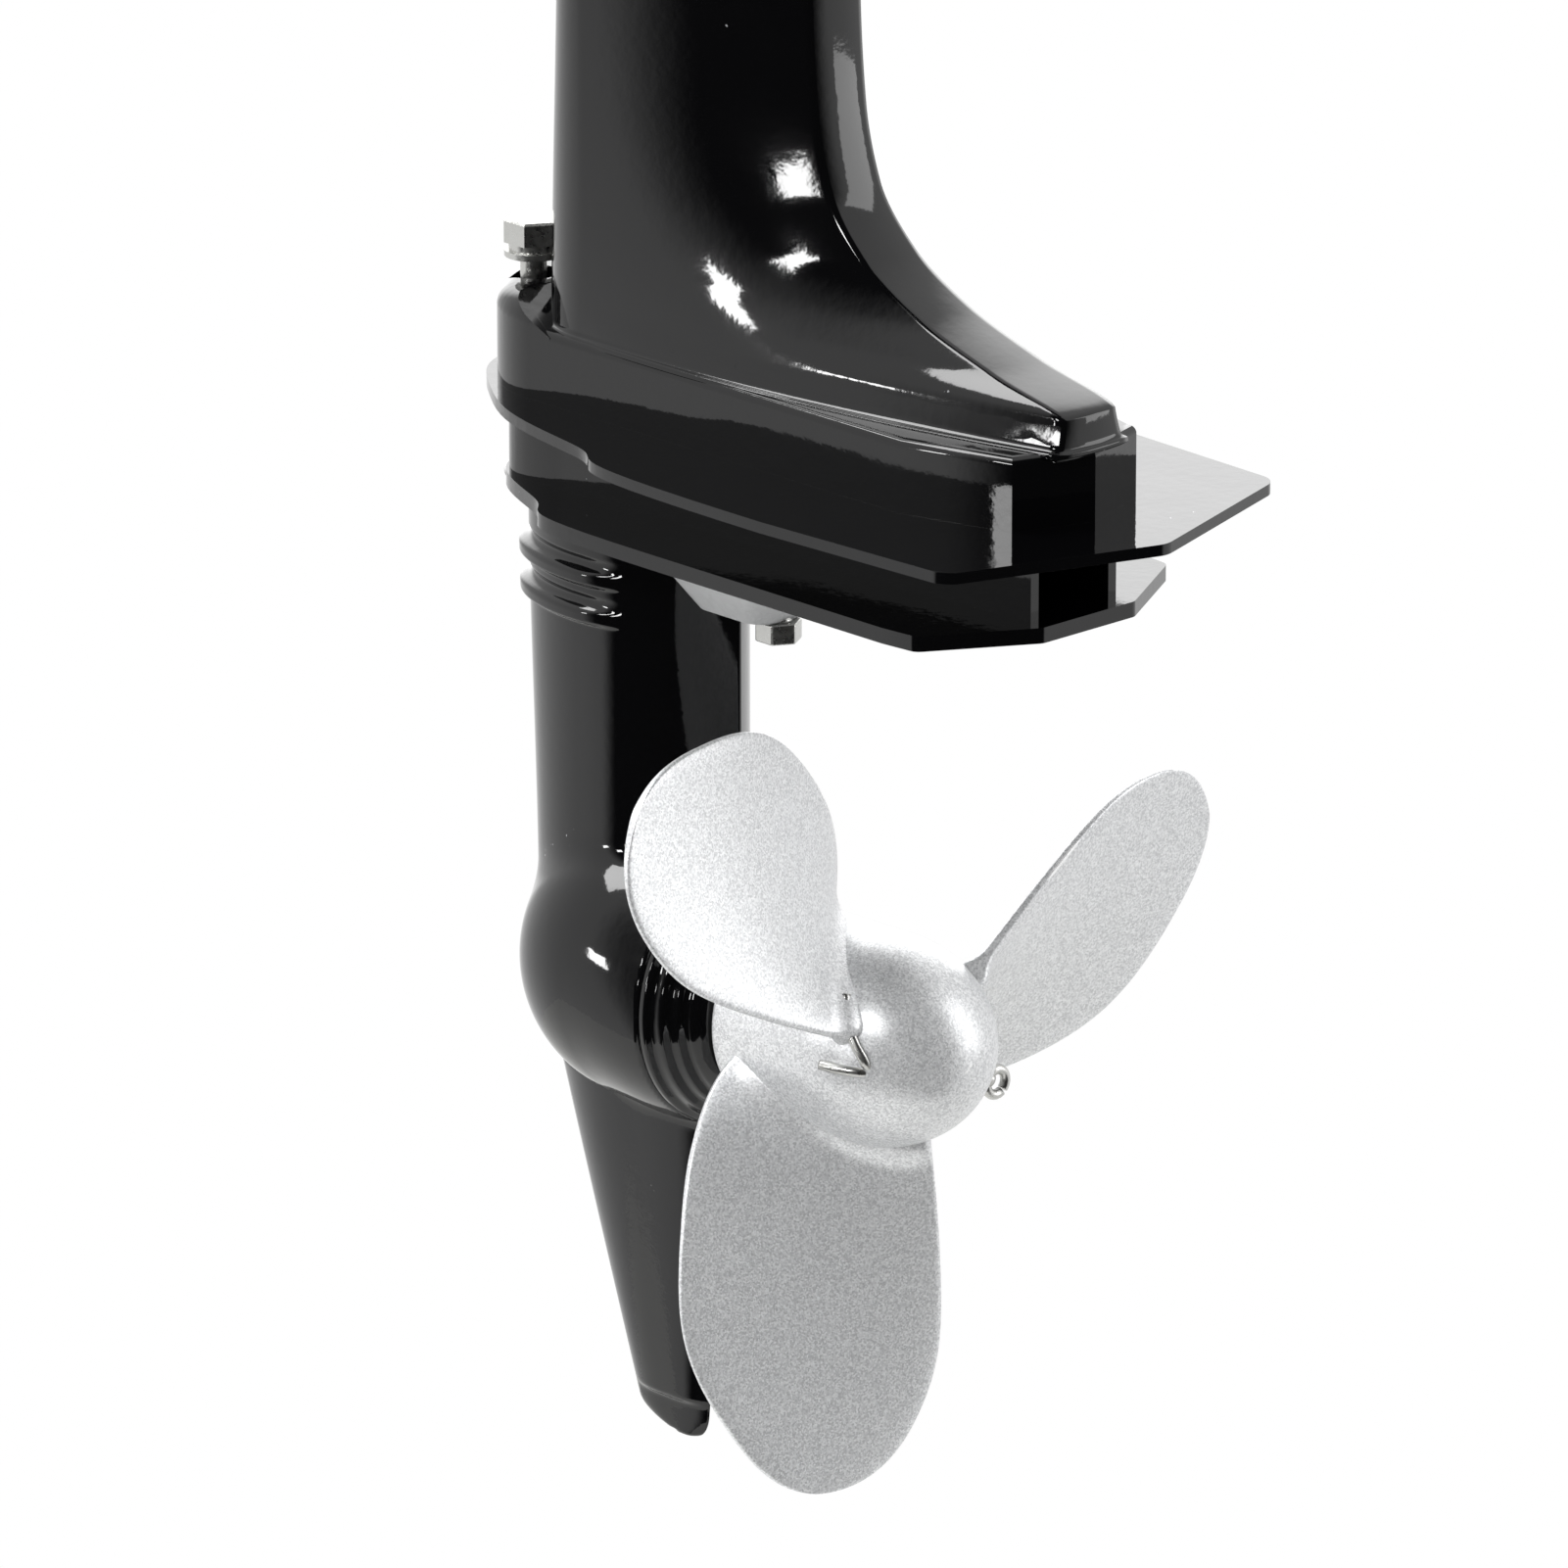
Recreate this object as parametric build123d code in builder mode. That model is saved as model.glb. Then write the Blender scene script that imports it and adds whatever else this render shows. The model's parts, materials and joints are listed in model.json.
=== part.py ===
"""Small transom-hung outboard motor, in millimetres.

The frame: +X aft, +Y to starboard, +Z up. The origin is the middle of the seat
that rests on the top of the boat's transom.
"""

import os
from math import atan, cos, hypot, pi, radians, sin, tan

from build123d import *

os.makedirs("parts", exist_ok=True)

# Main axes and levels
DRIVE_X = 95.0  # drive and steering axis, aft of the transom seat's middle
SHAFT_Z = -550.0  # propeller shaft, under the transom seat
TUBE_FOOT_H = 300.0  # top flange of the leg, above the propeller shaft
PAN_Z = 47.0  # underside of the engine pan, above the seat

# Clearances
RUN_FIT = 0.05  # radial gap of a shaft in its bore
SEAT_GAP = 0.3  # gap between faces that pass each other
PRESS_GAP = 0.02  # radial gap of a piece that is pressed or glued in

# Anti-splash plate and skirt of the leg casting
PLATE_TOP = 114.8
PLATE_THICK = 2.2
PLATE_NOSE = -33.0
PLATE_SHOULDER = (22.9, 37.1)
PLATE_WIDE = (80.5, 44.8)
PLATE_CORNER = (127.0, 42.6)
PLATE_APEX = 141.3
SKIRT_TOP = 129.0
SKIRT_HALF = 22.5
SKIRT_NOSE = -29.6
SKIRT_REAR = (117.0, 16.0)
SKIRT_APEX = 122.5
PLATE_CORNER_R = 5.0
BOSS_TOP = 133.6  # hump round the nose that the two housing bolts go through
BOSS_ROUND = 4.5
BOSS_SLOPE_U = (-17.0, -1.0)
LEG_WALL = 4.0
BOLT_U = -21.8
BOLT_V = 7.5
BOLT_R = 3.0
BOLT_POCKET_R = 5.0
BOLT_POCKET_FOOT = 126.5

# Gearcase casting
RIM_TOP = 96.6
RIM_THICK = 3.0
RIM_NOSE = -27.0
DUCT_NOSE = RIM_NOSE + 0.5
RIM_END = 121.1
DUCT_WALL = 3.0
STRUT_HALF = 17.0
STRUT_REAR = 27.5
STRUT_TAIL_R = 3.0
BULLET_NOSE = -28.0
BULLET_MID = 31.0
BULLET_R = 26.5
PARTING_U = 27.0
CAP_END = 38.0
SKEG_DEPTH = 95.0

# Shafts and bevel gears
DRIVE_R = 5.0
PROP_SHAFT_R = 6.0
PINION_TEETH = 13
DRIVEN_TEETH = 27
GEAR_MODULE = 1.35
FACE_SHARE = 0.68  # small end of the teeth as a share of the cone distance
TOOTH_SHARE = 0.80  # tooth thickness as a share of half the pitch

# Propeller
HUB_R = 20.5
HUB_FRONT = 40.0
HUB_CYL_END = 74.0
HUB_NOSE = 97.0
BLADE_COUNT = 3
BLADE_R = 88.5
BLADE_PITCH = 130.0
BLADE_MID_U = 66.8
BLADE_FIRST = 11.0
ROOT_THICK = 7.0
TIP_THICK = 1.8
COTTER_U = 80.0
COTTER_R = 1.6
COTTER_TILT = -22.0

# Water pump
PUMP_R = 12.2
PUMP_TOP = 131.0
PUMP_ROOM_R = 9.8
IMPELLER_VANES = 6

# Steering tube and its bracket
TUBE_R = 22.0
TUBE_WALL = 4.0
FLANGE_R = 36.0
FLANGE_THICK = 8.0
BUSH_WALL = 2.5
BUSH_FLANGE = 3.0
SWIVEL_WALL = 6.5
TILT_X = -30.0
TILT_Z = 34.0
TILT_BOLT_R = 5.0
TILT_EYE_R = 11.0
TRIM_X = 45.0
TRIM_Z = -205.0
TRIM_PIN_R = 5.0

# Transom clamps
CLAMP_Y = 45.0
CLAMP_THICK = 12.0
CLAMP_INNER = 36.0
SEAT_AFT = 20.0
JAW_INNER = -58.0
JAW_OUTER = -80.0
HOOK_THICK = 12.0
SCREW_Z = -48.0
SCREW_R = 5.0
SCREW_BOSS_R = 11.0
SCREW_LENGTH = 84.0
PAD_R = 17.0
PAD_THICK = 8.0
PAD_REST = -38.0
HANDLE_HALF = 28.0
HANDLE_R = 3.0


def at(height):
    """Level plane at a height above the propeller shaft, centred on the drive axis."""
    return Plane(origin=(DRIVE_X, 0, SHAFT_Z + height))


def across(station):
    """Plane square to the propeller shaft; its x runs to starboard and its y up."""
    return Plane(origin=(DRIVE_X + station, 0, SHAFT_Z), x_dir=(0, 1, 0), z_dir=(1, 0, 0))


def level(z):
    """Level plane at a height above the transom seat, centred on the drive axis."""
    return Plane(origin=(DRIVE_X, 0, z))


MIDDLE = Plane(origin=(DRIVE_X, 0, SHAFT_Z), x_dir=(1, 0, 0), z_dir=(0, -1, 0))
HEAD = Plane(origin=(DRIVE_X, 0, 0), x_dir=(1, 0, 0), z_dir=(0, -1, 0))
SEAT = Plane(origin=(0, 0, 0), x_dir=(1, 0, 0), z_dir=(0, -1, 0))
DRIVE_AXIS = Axis((DRIVE_X, 0, SHAFT_Z), (0, 0, 1))
PROP_AXIS = Axis((DRIVE_X, 0, SHAFT_Z), (1, 0, 0))


def turn(points, axis, plane=MIDDLE, mode=Mode.ADD):
    """Add or cut a closed outline turned round an axis."""
    with BuildSketch(plane) as outline:
        with BuildLine():
            Polyline(*points, close=True)
        make_face()
    revolve(outline.sketch, axis=axis, mode=mode)


def ring(plane, outer, inner, height):
    """Add a plain ring standing on a plane."""
    with BuildSketch(plane) as outline:
        Circle(outer)
        Circle(inner, mode=Mode.SUBTRACT)
    extrude(outline.sketch, amount=height)


def rod(plane, radius, length, mode=Mode.ADD):
    """Add or cut a round bar standing on a plane."""
    with BuildSketch(plane) as outline:
        Circle(radius)
    extrude(outline.sketch, amount=length, mode=mode)


def leg_section(height, front, wide_at, half, rear, spine, side, bulge=0.8, inset=0.0):
    """Teardrop section of the leg: round nose, nearly flat sides, narrow spine."""
    front += inset
    half -= inset
    rear -= inset
    spine = max(spine - inset, 2.0)
    side = (side[0], side[1] - inset)
    with BuildSketch(at(height)) as section:
        with BuildLine():
            ThreePointArc((wide_at, -half), (front, 0), (wide_at, half))
            ThreePointArc((wide_at, half), side, (rear, spine))
            ThreePointArc((rear, spine), (rear + bulge, 0), (rear, -spine))
            ThreePointArc((rear, -spine), (side[0], -side[1]), (wide_at, -half))
        make_face()
    return section.sketch


# height, nose, spine's rear face, spine's half-width, place of the side's middle
FOOT_SECTIONS = (
    (127.5, -15.3, 121.0, 8.5, (62.0, 19.8)),
    (134.8, -15.0, 120.5, 6.8, (58.0, 17.4)),
    (140.0, -14.8, 101.0, 6.6, (50.0, 16.9)),
    (146.0, -14.6, 82.5, 6.6, (42.0, 16.6)),
    (154.0, -14.3, 68.0, 6.6, (36.0, 16.2)),
    (165.0, -13.8, 58.5, 6.6, (32.0, 15.9)),
    (180.0, -13.0, 54.5, 6.6, (30.0, 15.6)),
    (200.0, -12.2, 53.0, 6.6, (29.5, 15.4)),
    (222.0, -12.0, 52.6, 6.6, (29.2, 15.3)),
    (245.0, -12.0, 52.5, 6.6, (29.0, 15.3)),
)
COLUMN_WIDE_AT = 6.5
COLUMN_HALF = 20.5
COLLAR_R = 28.0
COLLAR_FOOT = TUBE_FOOT_H - 14.0


def column(inset=0.0, mode=Mode.ADD):
    """Leg column from the skirt to the round collar, whole or as its inner space."""
    sections = []
    for height, nose, rear, spine, side in FOOT_SECTIONS:
        sections.append(leg_section(height, nose, COLUMN_WIDE_AT, COLUMN_HALF, rear, spine, side, 0.8, inset))
    loft(sections[:2], ruled=True, mode=mode)
    loft(sections[1:7], ruled=inset > 0, mode=mode)
    loft(sections[6:], ruled=True, mode=mode)
    round_side = (COLLAR_R * cos(radians(45)), COLLAR_R * sin(radians(45)))
    spine_half = 7.0
    spine_u = (COLLAR_R**2 - spine_half**2) ** 0.5
    top = leg_section(
        COLLAR_FOOT, -COLLAR_R, 0.0, COLLAR_R, spine_u, spine_half, round_side, COLLAR_R - spine_u, inset
    )
    loft([sections[-1], top], ruled=True, mode=mode)


def plate_outline(plane, margin=0.0):
    """Anti-splash plate: round nose, long bowed sides, swept rear edge."""
    with BuildSketch(plane) as outline:
        with BuildLine() as half:
            Spline(
                (PLATE_NOSE + margin, 0),
                (-20.0, 20.8 - margin),
                (-3.5, 30.7 - margin),
                (PLATE_SHOULDER[0], PLATE_SHOULDER[1] - margin),
                (PLATE_WIDE[0], PLATE_WIDE[1] - margin),
                tangents=[(0, 1), (1, 0)],
            )
            Line((PLATE_WIDE[0], PLATE_WIDE[1] - margin), PLATE_CORNER)
            Line(PLATE_CORNER, (PLATE_APEX, 0))
            mirror(about=Plane.XZ)
        make_face()
        fillet(outline.vertices().sort_by(Axis.X)[-3:], radius=PLATE_CORNER_R)
    return outline.sketch


def skirt_outline(plane, margin=0.0):
    """Skirt above the plate: half-round nose, straight sides, blunt vee rear."""
    half = SKIRT_HALF - margin
    nose_mid = SKIRT_NOSE + SKIRT_HALF
    with BuildSketch(plane) as outline:
        with BuildLine():
            ThreePointArc((nose_mid, -half), (SKIRT_NOSE + margin, 0), (nose_mid, half))
            Polyline(
                (nose_mid, half),
                (94.0, half),
                (SKIRT_REAR[0] - margin, SKIRT_REAR[1] - margin),
                (SKIRT_APEX - margin, 0),
                (SKIRT_REAR[0] - margin, margin - SKIRT_REAR[1]),
                (94.0, -half),
                (nose_mid, -half),
            )
        make_face()
    return outline.sketch


# Leg casting: plate, skirt, hollow column and the flange under the steering tube
with BuildPart() as drive_shaft_housing:
    extrude(plate_outline(at(PLATE_TOP - PLATE_THICK)), amount=PLATE_THICK)
    with BuildPart(mode=Mode.PRIVATE) as skirt:
        extrude(skirt_outline(at(PLATE_TOP - 0.1)), amount=SKIRT_TOP - PLATE_TOP + 0.1)
        fillet(skirt.faces().sort_by(Axis.Z)[-1].edges(), radius=1.8)
    add(skirt.part)
    with BuildPart(mode=Mode.PRIVATE) as boss:
        extrude(skirt_outline(at(PLATE_TOP)), amount=BOSS_TOP - PLATE_TOP)
        fillet(boss.faces().sort_by(Axis.Z)[-1].edges(), radius=BOSS_ROUND)
        with BuildSketch(MIDDLE.offset(-2 * SKIRT_HALF)) as behind_boss:
            with BuildLine():
                Polyline(
                    (BOSS_SLOPE_U[0], BOSS_TOP + 1),
                    (BOSS_SLOPE_U[1], SKIRT_TOP - 1),
                    (BOSS_SLOPE_U[1], PLATE_TOP - 1),
                    (PLATE_APEX, PLATE_TOP - 1),
                    (PLATE_APEX, BOSS_TOP + 1),
                    close=True,
                )
            make_face()
        extrude(behind_boss.sketch, amount=4 * SKIRT_HALF, mode=Mode.SUBTRACT)
    add(boss.part)
    with BuildSketch(at(BOLT_POCKET_FOOT)) as bolt_pockets:
        with Locations((BOLT_U, BOLT_V), (BOLT_U, -BOLT_V)):
            Circle(BOLT_POCKET_R)
    extrude(bolt_pockets.sketch, amount=BOSS_TOP - BOLT_POCKET_FOOT + 1, mode=Mode.SUBTRACT)
    column()
    rod(at(COLLAR_FOOT), COLLAR_R, TUBE_FOOT_H - COLLAR_FOOT)
    rod(at(TUBE_FOOT_H - FLANGE_THICK), FLANGE_R, FLANGE_THICK)
    column(LEG_WALL, mode=Mode.SUBTRACT)
    extrude(skirt_outline(at(PLATE_TOP - PLATE_THICK), LEG_WALL + 7.0), amount=15.2, mode=Mode.SUBTRACT)
    rod(at(PLATE_TOP - PLATE_THICK), PUMP_R + SEAT_GAP, PUMP_TOP - PLATE_TOP + PLATE_THICK + 2, mode=Mode.SUBTRACT)
    rod(at(COLLAR_FOOT - 1), TUBE_R - TUBE_WALL, TUBE_FOOT_H - COLLAR_FOOT + 1, mode=Mode.SUBTRACT)
    with BuildSketch(at(PLATE_TOP - PLATE_THICK)) as bolt_holes:
        with Locations((BOLT_U, BOLT_V), (BOLT_U, -BOLT_V)):
            Circle(BOLT_R + 0.2)
    extrude(bolt_holes.sketch, amount=BOSS_TOP - PLATE_TOP + PLATE_THICK, mode=Mode.SUBTRACT)
drive_shaft_housing.part.label = "drive_shaft_housing"
export_step(drive_shaft_housing.part, "parts/drive_shaft_housing.step")

# Gearcase casting: duct walls, lower plate, strut, bullet and skeg, with the
# shaft bores, the gear room and the exhaust duct cut out
def rim_outline(plane):
    """Lower plate: round nose, bowed sides, cut-off rear corners."""
    with BuildSketch(plane) as outline:
        with BuildLine():
            Spline((RIM_NOSE, 0), (-20.5, 16.1), (-1.5, 25.6), (37.9, 33.4), tangents=[(0, 1), (1, 0)])
            Polyline((37.9, 33.4), (100.8, 33.3), (108.9, 32.5), (RIM_END, 11.8), (RIM_END, 0))
            mirror(about=Plane.XZ)
        make_face()
        fillet(outline.vertices().sort_by(Axis.X)[-4:], radius=2.5)
    return outline.sketch


def duct_outline(plane, inset=0.0, end=117.0):
    """Walls between the two plates: round nose, long sides closing aft."""
    with BuildSketch(plane) as outline:
        with BuildLine():
            Spline((DUCT_NOSE + inset, 0), (-19.5, 16.0 - inset), (-2.0, 17.6 - inset), tangents=[(0, 1), (1, -0.1)])
            Polyline((-2.0, 17.6 - inset), (81.0, 14.8 - inset), (end, 11.0 - inset), (end, 0))
            mirror(about=Plane.XZ)
        make_face()
    return outline.sketch


def strut_outline(plane, front, half, grow=0.0):
    """Strut section: elliptic nose, bowed sides closing to a small round tail."""
    tail = STRUT_REAR - STRUT_TAIL_R
    with BuildSketch(plane) as outline:
        with BuildLine():
            Spline(
                (0, -half - grow), (front - grow, 0), (0, half + grow), tangents=[(-1, 0), (0, 1), (1, 0)]
            )
            ThreePointArc((0, half + grow), (0.62 * tail, 0.76 * half + grow), (tail, STRUT_TAIL_R + grow))
            ThreePointArc((tail, STRUT_TAIL_R + grow), (STRUT_REAR + grow, 0), (tail, -STRUT_TAIL_R - grow))
            ThreePointArc((tail, -STRUT_TAIL_R - grow), (0.62 * tail, -0.76 * half - grow), (0, -half - grow))
        make_face()
    return outline.sketch


def skeg_outline(height, front, rear, half):
    """Skeg section: thin lens with a blunt tail."""
    with BuildSketch(at(height)) as outline:
        with BuildLine():
            Spline((rear, half * 0.5), (front + 0.4 * (rear - front), half), (front, 0))
            Spline((front, 0), (front + 0.4 * (rear - front), -half), (rear, -half * 0.5))
            Line((rear, -half * 0.5), (rear, half * 0.5))
        make_face()
    return outline.sketch


BULLET_HALF_LENGTH = BULLET_MID - BULLET_NOSE
RIB_HEIGHTS = (71.5, 79.0)
RIB_PROUD = 1.4
RIB_HIGH = 3.2
GEAR_ROOM_R = 20.4
BEARING_R = 11.0
BEARING_BACK = -16.0
BEARING_LENGTH = 7.0
PINION_ROOM_R = 11.2
PINION_BUSH = (26.0, 46.0)
PINION_BUSH_R = 9.0
UPPER_BUSH = (94.0, 108.0)
SEAL_TOP = 112.4
SHAFT_BORE_R = 6.5


def bullet(radius_cut=0.0):
    """Half-ellipsoid nose of the gearcase, turned round the propeller shaft."""
    end = PARTING_U
    drop = BULLET_R * (1 - ((end - BULLET_MID) / BULLET_HALF_LENGTH) ** 2) ** 0.5
    with BuildSketch(MIDDLE) as outline:
        with BuildLine():
            Spline(
                (BULLET_NOSE, 0),
                (BULLET_MID - 0.8 * BULLET_HALF_LENGTH, BULLET_R * 0.6),
                (BULLET_MID - 0.4 * BULLET_HALF_LENGTH, BULLET_R * 0.9165),
                (end, drop),
                tangents=[(0, 1), (1, 0.02)],
            )
            Polyline((end, drop), (end, 0), (BULLET_NOSE, 0))
        make_face()
    revolve(outline.sketch, axis=PROP_AXIS)


with BuildPart() as gearcase_housing:
    extrude(duct_outline(at(RIM_TOP - 1)), amount=PLATE_TOP - PLATE_THICK - RIM_TOP + 1)
    extrude(rim_outline(at(RIM_TOP - RIM_THICK)), amount=RIM_THICK)
    loft([strut_outline(at(5), -23.0, STRUT_HALF), strut_outline(at(RIM_TOP - 1), -26.0, STRUT_HALF)])
    for rib in RIB_HEIGHTS:
        with BuildPart(mode=Mode.PRIVATE) as rib_band:
            extrude(strut_outline(at(rib), -25.4, STRUT_HALF - 0.1, RIB_PROUD), amount=RIB_HIGH)
            with BuildSketch(at(rib - 1)) as rib_end:
                with Locations((30, 0)):
                    Rectangle(44, 80)
            extrude(rib_end.sketch, amount=RIB_HIGH + 2, mode=Mode.SUBTRACT)
        add(rib_band.part)
    rod(across(PARTING_U), BULLET_R + SEAT_GAP, 14, mode=Mode.SUBTRACT)
    bullet()
    loft(
        [
            skeg_outline(-14.0, -27.0, 26.0, 5.0),
            skeg_outline(-55.0, -15.5, 22.5, 3.6),
            skeg_outline(-SKEG_DEPTH, -1.5, 18.5, 2.0),
        ]
    )
    # Exhaust duct, open at the rear between the plates and closed at the front by the bolts' land
    with BuildPart(mode=Mode.PRIVATE) as duct_room:
        extrude(duct_outline(at(RIM_TOP), DUCT_WALL, 130.0), amount=30)
        with BuildSketch(at(RIM_TOP - 1)) as bolt_land:
            with Locations((BOLT_U + 2 * BOLT_R - 50, 0)):
                Rectangle(100, 60)
        extrude(bolt_land.sketch, amount=40, mode=Mode.SUBTRACT)
    add(duct_room.part, mode=Mode.SUBTRACT)
    # The pump's seat and the shaft's housing stay standing in the duct's front
    extrude(
        strut_outline(at(RIM_TOP - 1), -22.5, STRUT_HALF - DUCT_WALL + 1.0),
        amount=PLATE_TOP - PLATE_THICK - RIM_TOP + 1,
    )
    # Gear room, bearing seats and the drive shaft's bore
    turn(
        [
            (BEARING_BACK, 0),
            (BEARING_BACK, BEARING_R),
            (BEARING_BACK + BEARING_LENGTH, BEARING_R),
            (BEARING_BACK + BEARING_LENGTH + 1, 12.5),
            (7.0, GEAR_ROOM_R),
            (PARTING_U + 1, GEAR_ROOM_R),
            (PARTING_U + 1, 0),
        ],
        PROP_AXIS,
        mode=Mode.SUBTRACT,
    )
    rod(at(0), PINION_ROOM_R, PINION_BUSH[0], mode=Mode.SUBTRACT)
    rod(at(PINION_BUSH[0] - 0.5), PINION_BUSH_R, PINION_BUSH[1] - PINION_BUSH[0] + 0.5, mode=Mode.SUBTRACT)
    rod(at(PINION_BUSH[1] - 1), SHAFT_BORE_R, UPPER_BUSH[0] - PINION_BUSH[1] + 2, mode=Mode.SUBTRACT)
    rod(at(UPPER_BUSH[0]), PINION_BUSH_R, 30, mode=Mode.SUBTRACT)
    with BuildSketch(at(RIM_TOP + 1)) as threaded_holes:
        with Locations((BOLT_U, BOLT_V), (BOLT_U, -BOLT_V)):
            Circle(BOLT_R - 0.4)
    extrude(threaded_holes.sketch, amount=40, mode=Mode.SUBTRACT)
gearcase_housing.part.label = "gearcase_housing"
export_step(gearcase_housing.part, "parts/gearcase_housing.step")

# Cap that closes the gear room, stepped like a ridged cone, with the seal's bore
CAP_SPIGOT = 6.0
CAP_STEPS = ((26.4, 28.6), (25.0, 29.4), (24.6, 31.6), (22.9, 32.2), (22.5, 33.8), (20.9, 34.4), (20.5, 36.0))
CAP_BEARING = (23.0, 31.0)
with BuildPart() as gearcase_cap:
    outline_points = [(PARTING_U + 0.05, 0), (PARTING_U + 0.05, CAP_STEPS[0][0])]
    for radius, station in CAP_STEPS:
        outline_points.append((station, radius))
    outline_points += [(CAP_END, 18.6), (CAP_END, 0)]
    turn(outline_points, PROP_AXIS)
    rod(across(PARTING_U - CAP_SPIGOT), GEAR_ROOM_R - 0.1, CAP_SPIGOT + 1)
    rod(across(PARTING_U - CAP_SPIGOT - 1), BEARING_R, CAP_BEARING[1] - PARTING_U + CAP_SPIGOT + 1, mode=Mode.SUBTRACT)
    rod(across(CAP_BEARING[1] - 1), 9.5, CAP_END, mode=Mode.SUBTRACT)
gearcase_cap.part.label = "gearcase_cap"
export_step(gearcase_cap.part, "parts/gearcase_cap.step")


def bearing(station, length):
    """Closed ball bearing round the propeller shaft, as one ring with a sunk shield."""
    ring(across(station), BEARING_R - PRESS_GAP, PROP_SHAFT_R + RUN_FIT, length)
    with BuildSketch(across(station + length - 0.5)) as shield:
        Circle(BEARING_R - 1.2)
        Circle(PROP_SHAFT_R + 1.2, mode=Mode.SUBTRACT)
    extrude(shield.sketch, amount=0.5, mode=Mode.SUBTRACT)


with BuildPart() as propeller_shaft_bearings:
    bearing(BEARING_BACK + 0.1, BEARING_LENGTH - 0.1)
    bearing(CAP_BEARING[0], BEARING_LENGTH - 0.1)
propeller_shaft_bearings.part.label = "propeller_shaft_bearings"
export_step(propeller_shaft_bearings.part, "parts/propeller_shaft_bearings.step")

# Bushes of the drive shaft, at the pinion and under the pump
with BuildPart() as drive_shaft_bushes:
    for bush_foot, bush_top in (PINION_BUSH, UPPER_BUSH):
        ring(at(bush_foot), PINION_BUSH_R - PRESS_GAP, DRIVE_R + RUN_FIT, bush_top - bush_foot)
drive_shaft_bushes.part.label = "drive_shaft_bushes"
export_step(drive_shaft_bushes.part, "parts/drive_shaft_bushes.step")

# Lip seals over the upper bush and in the mouth of the cap
with BuildPart() as oil_seals:
    ring(at(UPPER_BUSH[1] + 0.1), PINION_BUSH_R - PRESS_GAP, DRIVE_R + RUN_FIT, SEAL_TOP - UPPER_BUSH[1] - 0.1)
    ring(across(CAP_BEARING[1] + 0.3), 9.5 - PRESS_GAP, PROP_SHAFT_R + RUN_FIT, CAP_END - CAP_BEARING[1] - 0.8)
oil_seals.part.label = "oil_seals"
export_step(oil_seals.part, "parts/oil_seals.step")


# Straight bevel gears whose teeth all run towards the crossing of the two shafts
def bevel_teeth(teeth, mate, first):
    """Toothed cone with its point at the origin and its axis along Z."""
    cone = atan(teeth / mate)
    apex_distance = GEAR_MODULE * mate / 2
    slant = hypot(GEAR_MODULE * teeth / 2, apex_distance)
    tip_rise = atan(0.85 * GEAR_MODULE / slant)
    root_fall = atan(1.2 * GEAR_MODULE / slant)
    half_pitch = pi * GEAR_MODULE / 4 * TOOTH_SHARE
    flank = tan(radians(20))
    corners = (
        (cone - root_fall, half_pitch + flank * 1.2 * GEAR_MODULE),
        (cone + tip_rise, half_pitch - flank * 0.85 * GEAR_MODULE),
    )
    points = []
    for tooth in range(teeth):
        centre = first + 2 * pi * tooth / teeth
        for angle, half in (corners[0], corners[1]):
            reach = apex_distance * tan(angle)
            turn_by = half / (slant * sin(angle))
            points.append((reach * cos(centre - turn_by), reach * sin(centre - turn_by)))
        for angle, half in (corners[1], corners[0]):
            reach = apex_distance * tan(angle)
            turn_by = half / (slant * sin(angle))
            points.append((reach * cos(centre + turn_by), reach * sin(centre + turn_by)))
    sections = []
    for share in (FACE_SHARE, 1.12):
        with BuildSketch(Plane.XY.offset(apex_distance * share)) as outline:
            Polygon(*[(x * share, y * share) for x, y in points], align=None)
        sections.append(outline.sketch)
    with BuildPart() as cone_teeth:
        loft(sections, ruled=True)
    # Back and front faces square to the teeth
    outer_r = GEAR_MODULE * teeth / 2
    rise = GEAR_MODULE * cos(cone)
    lean = GEAR_MODULE * sin(cone)
    with BuildPart() as blank:
        with BuildSketch(Plane.XZ) as side:
            with BuildLine():
                Polyline(
                    (0, 0),
                    (0, apex_distance + 1.5 * lean),
                    (outer_r - 1.5 * rise, apex_distance + 1.5 * lean),
                    (outer_r + 1.1 * rise, apex_distance - 1.1 * lean),
                    (outer_r + 1.1 * rise, 0),
                    close=True,
                )
            make_face()
        revolve(axis=Axis.Z)
    with BuildPart() as gear:
        add(cone_teeth.part)
        add(blank.part, mode=Mode.INTERSECT)
    return gear.part


PINION_BACK = GEAR_MODULE * DRIVEN_TEETH / 2
DRIVEN_BACK = GEAR_MODULE * PINION_TEETH / 2
with BuildPart() as pinion_gear:
    with Locations(at(0).location):
        add(bevel_teeth(PINION_TEETH, DRIVEN_TEETH, 0.0))
    rod(at(PINION_BACK - 1.0), 7.2, PINION_BUSH[0] - PINION_BACK + 0.7)
    rod(at(0), DRIVE_R + 0.02, 60, mode=Mode.SUBTRACT)
pinion_gear.part.label = "pinion_gear"
export_step(pinion_gear.part, "parts/pinion_gear.step")

with BuildPart() as driven_gear:
    with Locations(across(0).location):
        add(bevel_teeth(DRIVEN_TEETH, PINION_TEETH, pi / 2 + pi / DRIVEN_TEETH))
    rod(across(DRIVEN_BACK), 15.5, 4.0)
    rod(across(DRIVEN_BACK), 10.5, CAP_BEARING[0] - DRIVEN_BACK - 0.3)
    rod(across(-2), PROP_SHAFT_R + 0.02, 60, mode=Mode.SUBTRACT)
driven_gear.part.label = "driven_gear"
export_step(driven_gear.part, "parts/driven_gear.step")

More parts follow.
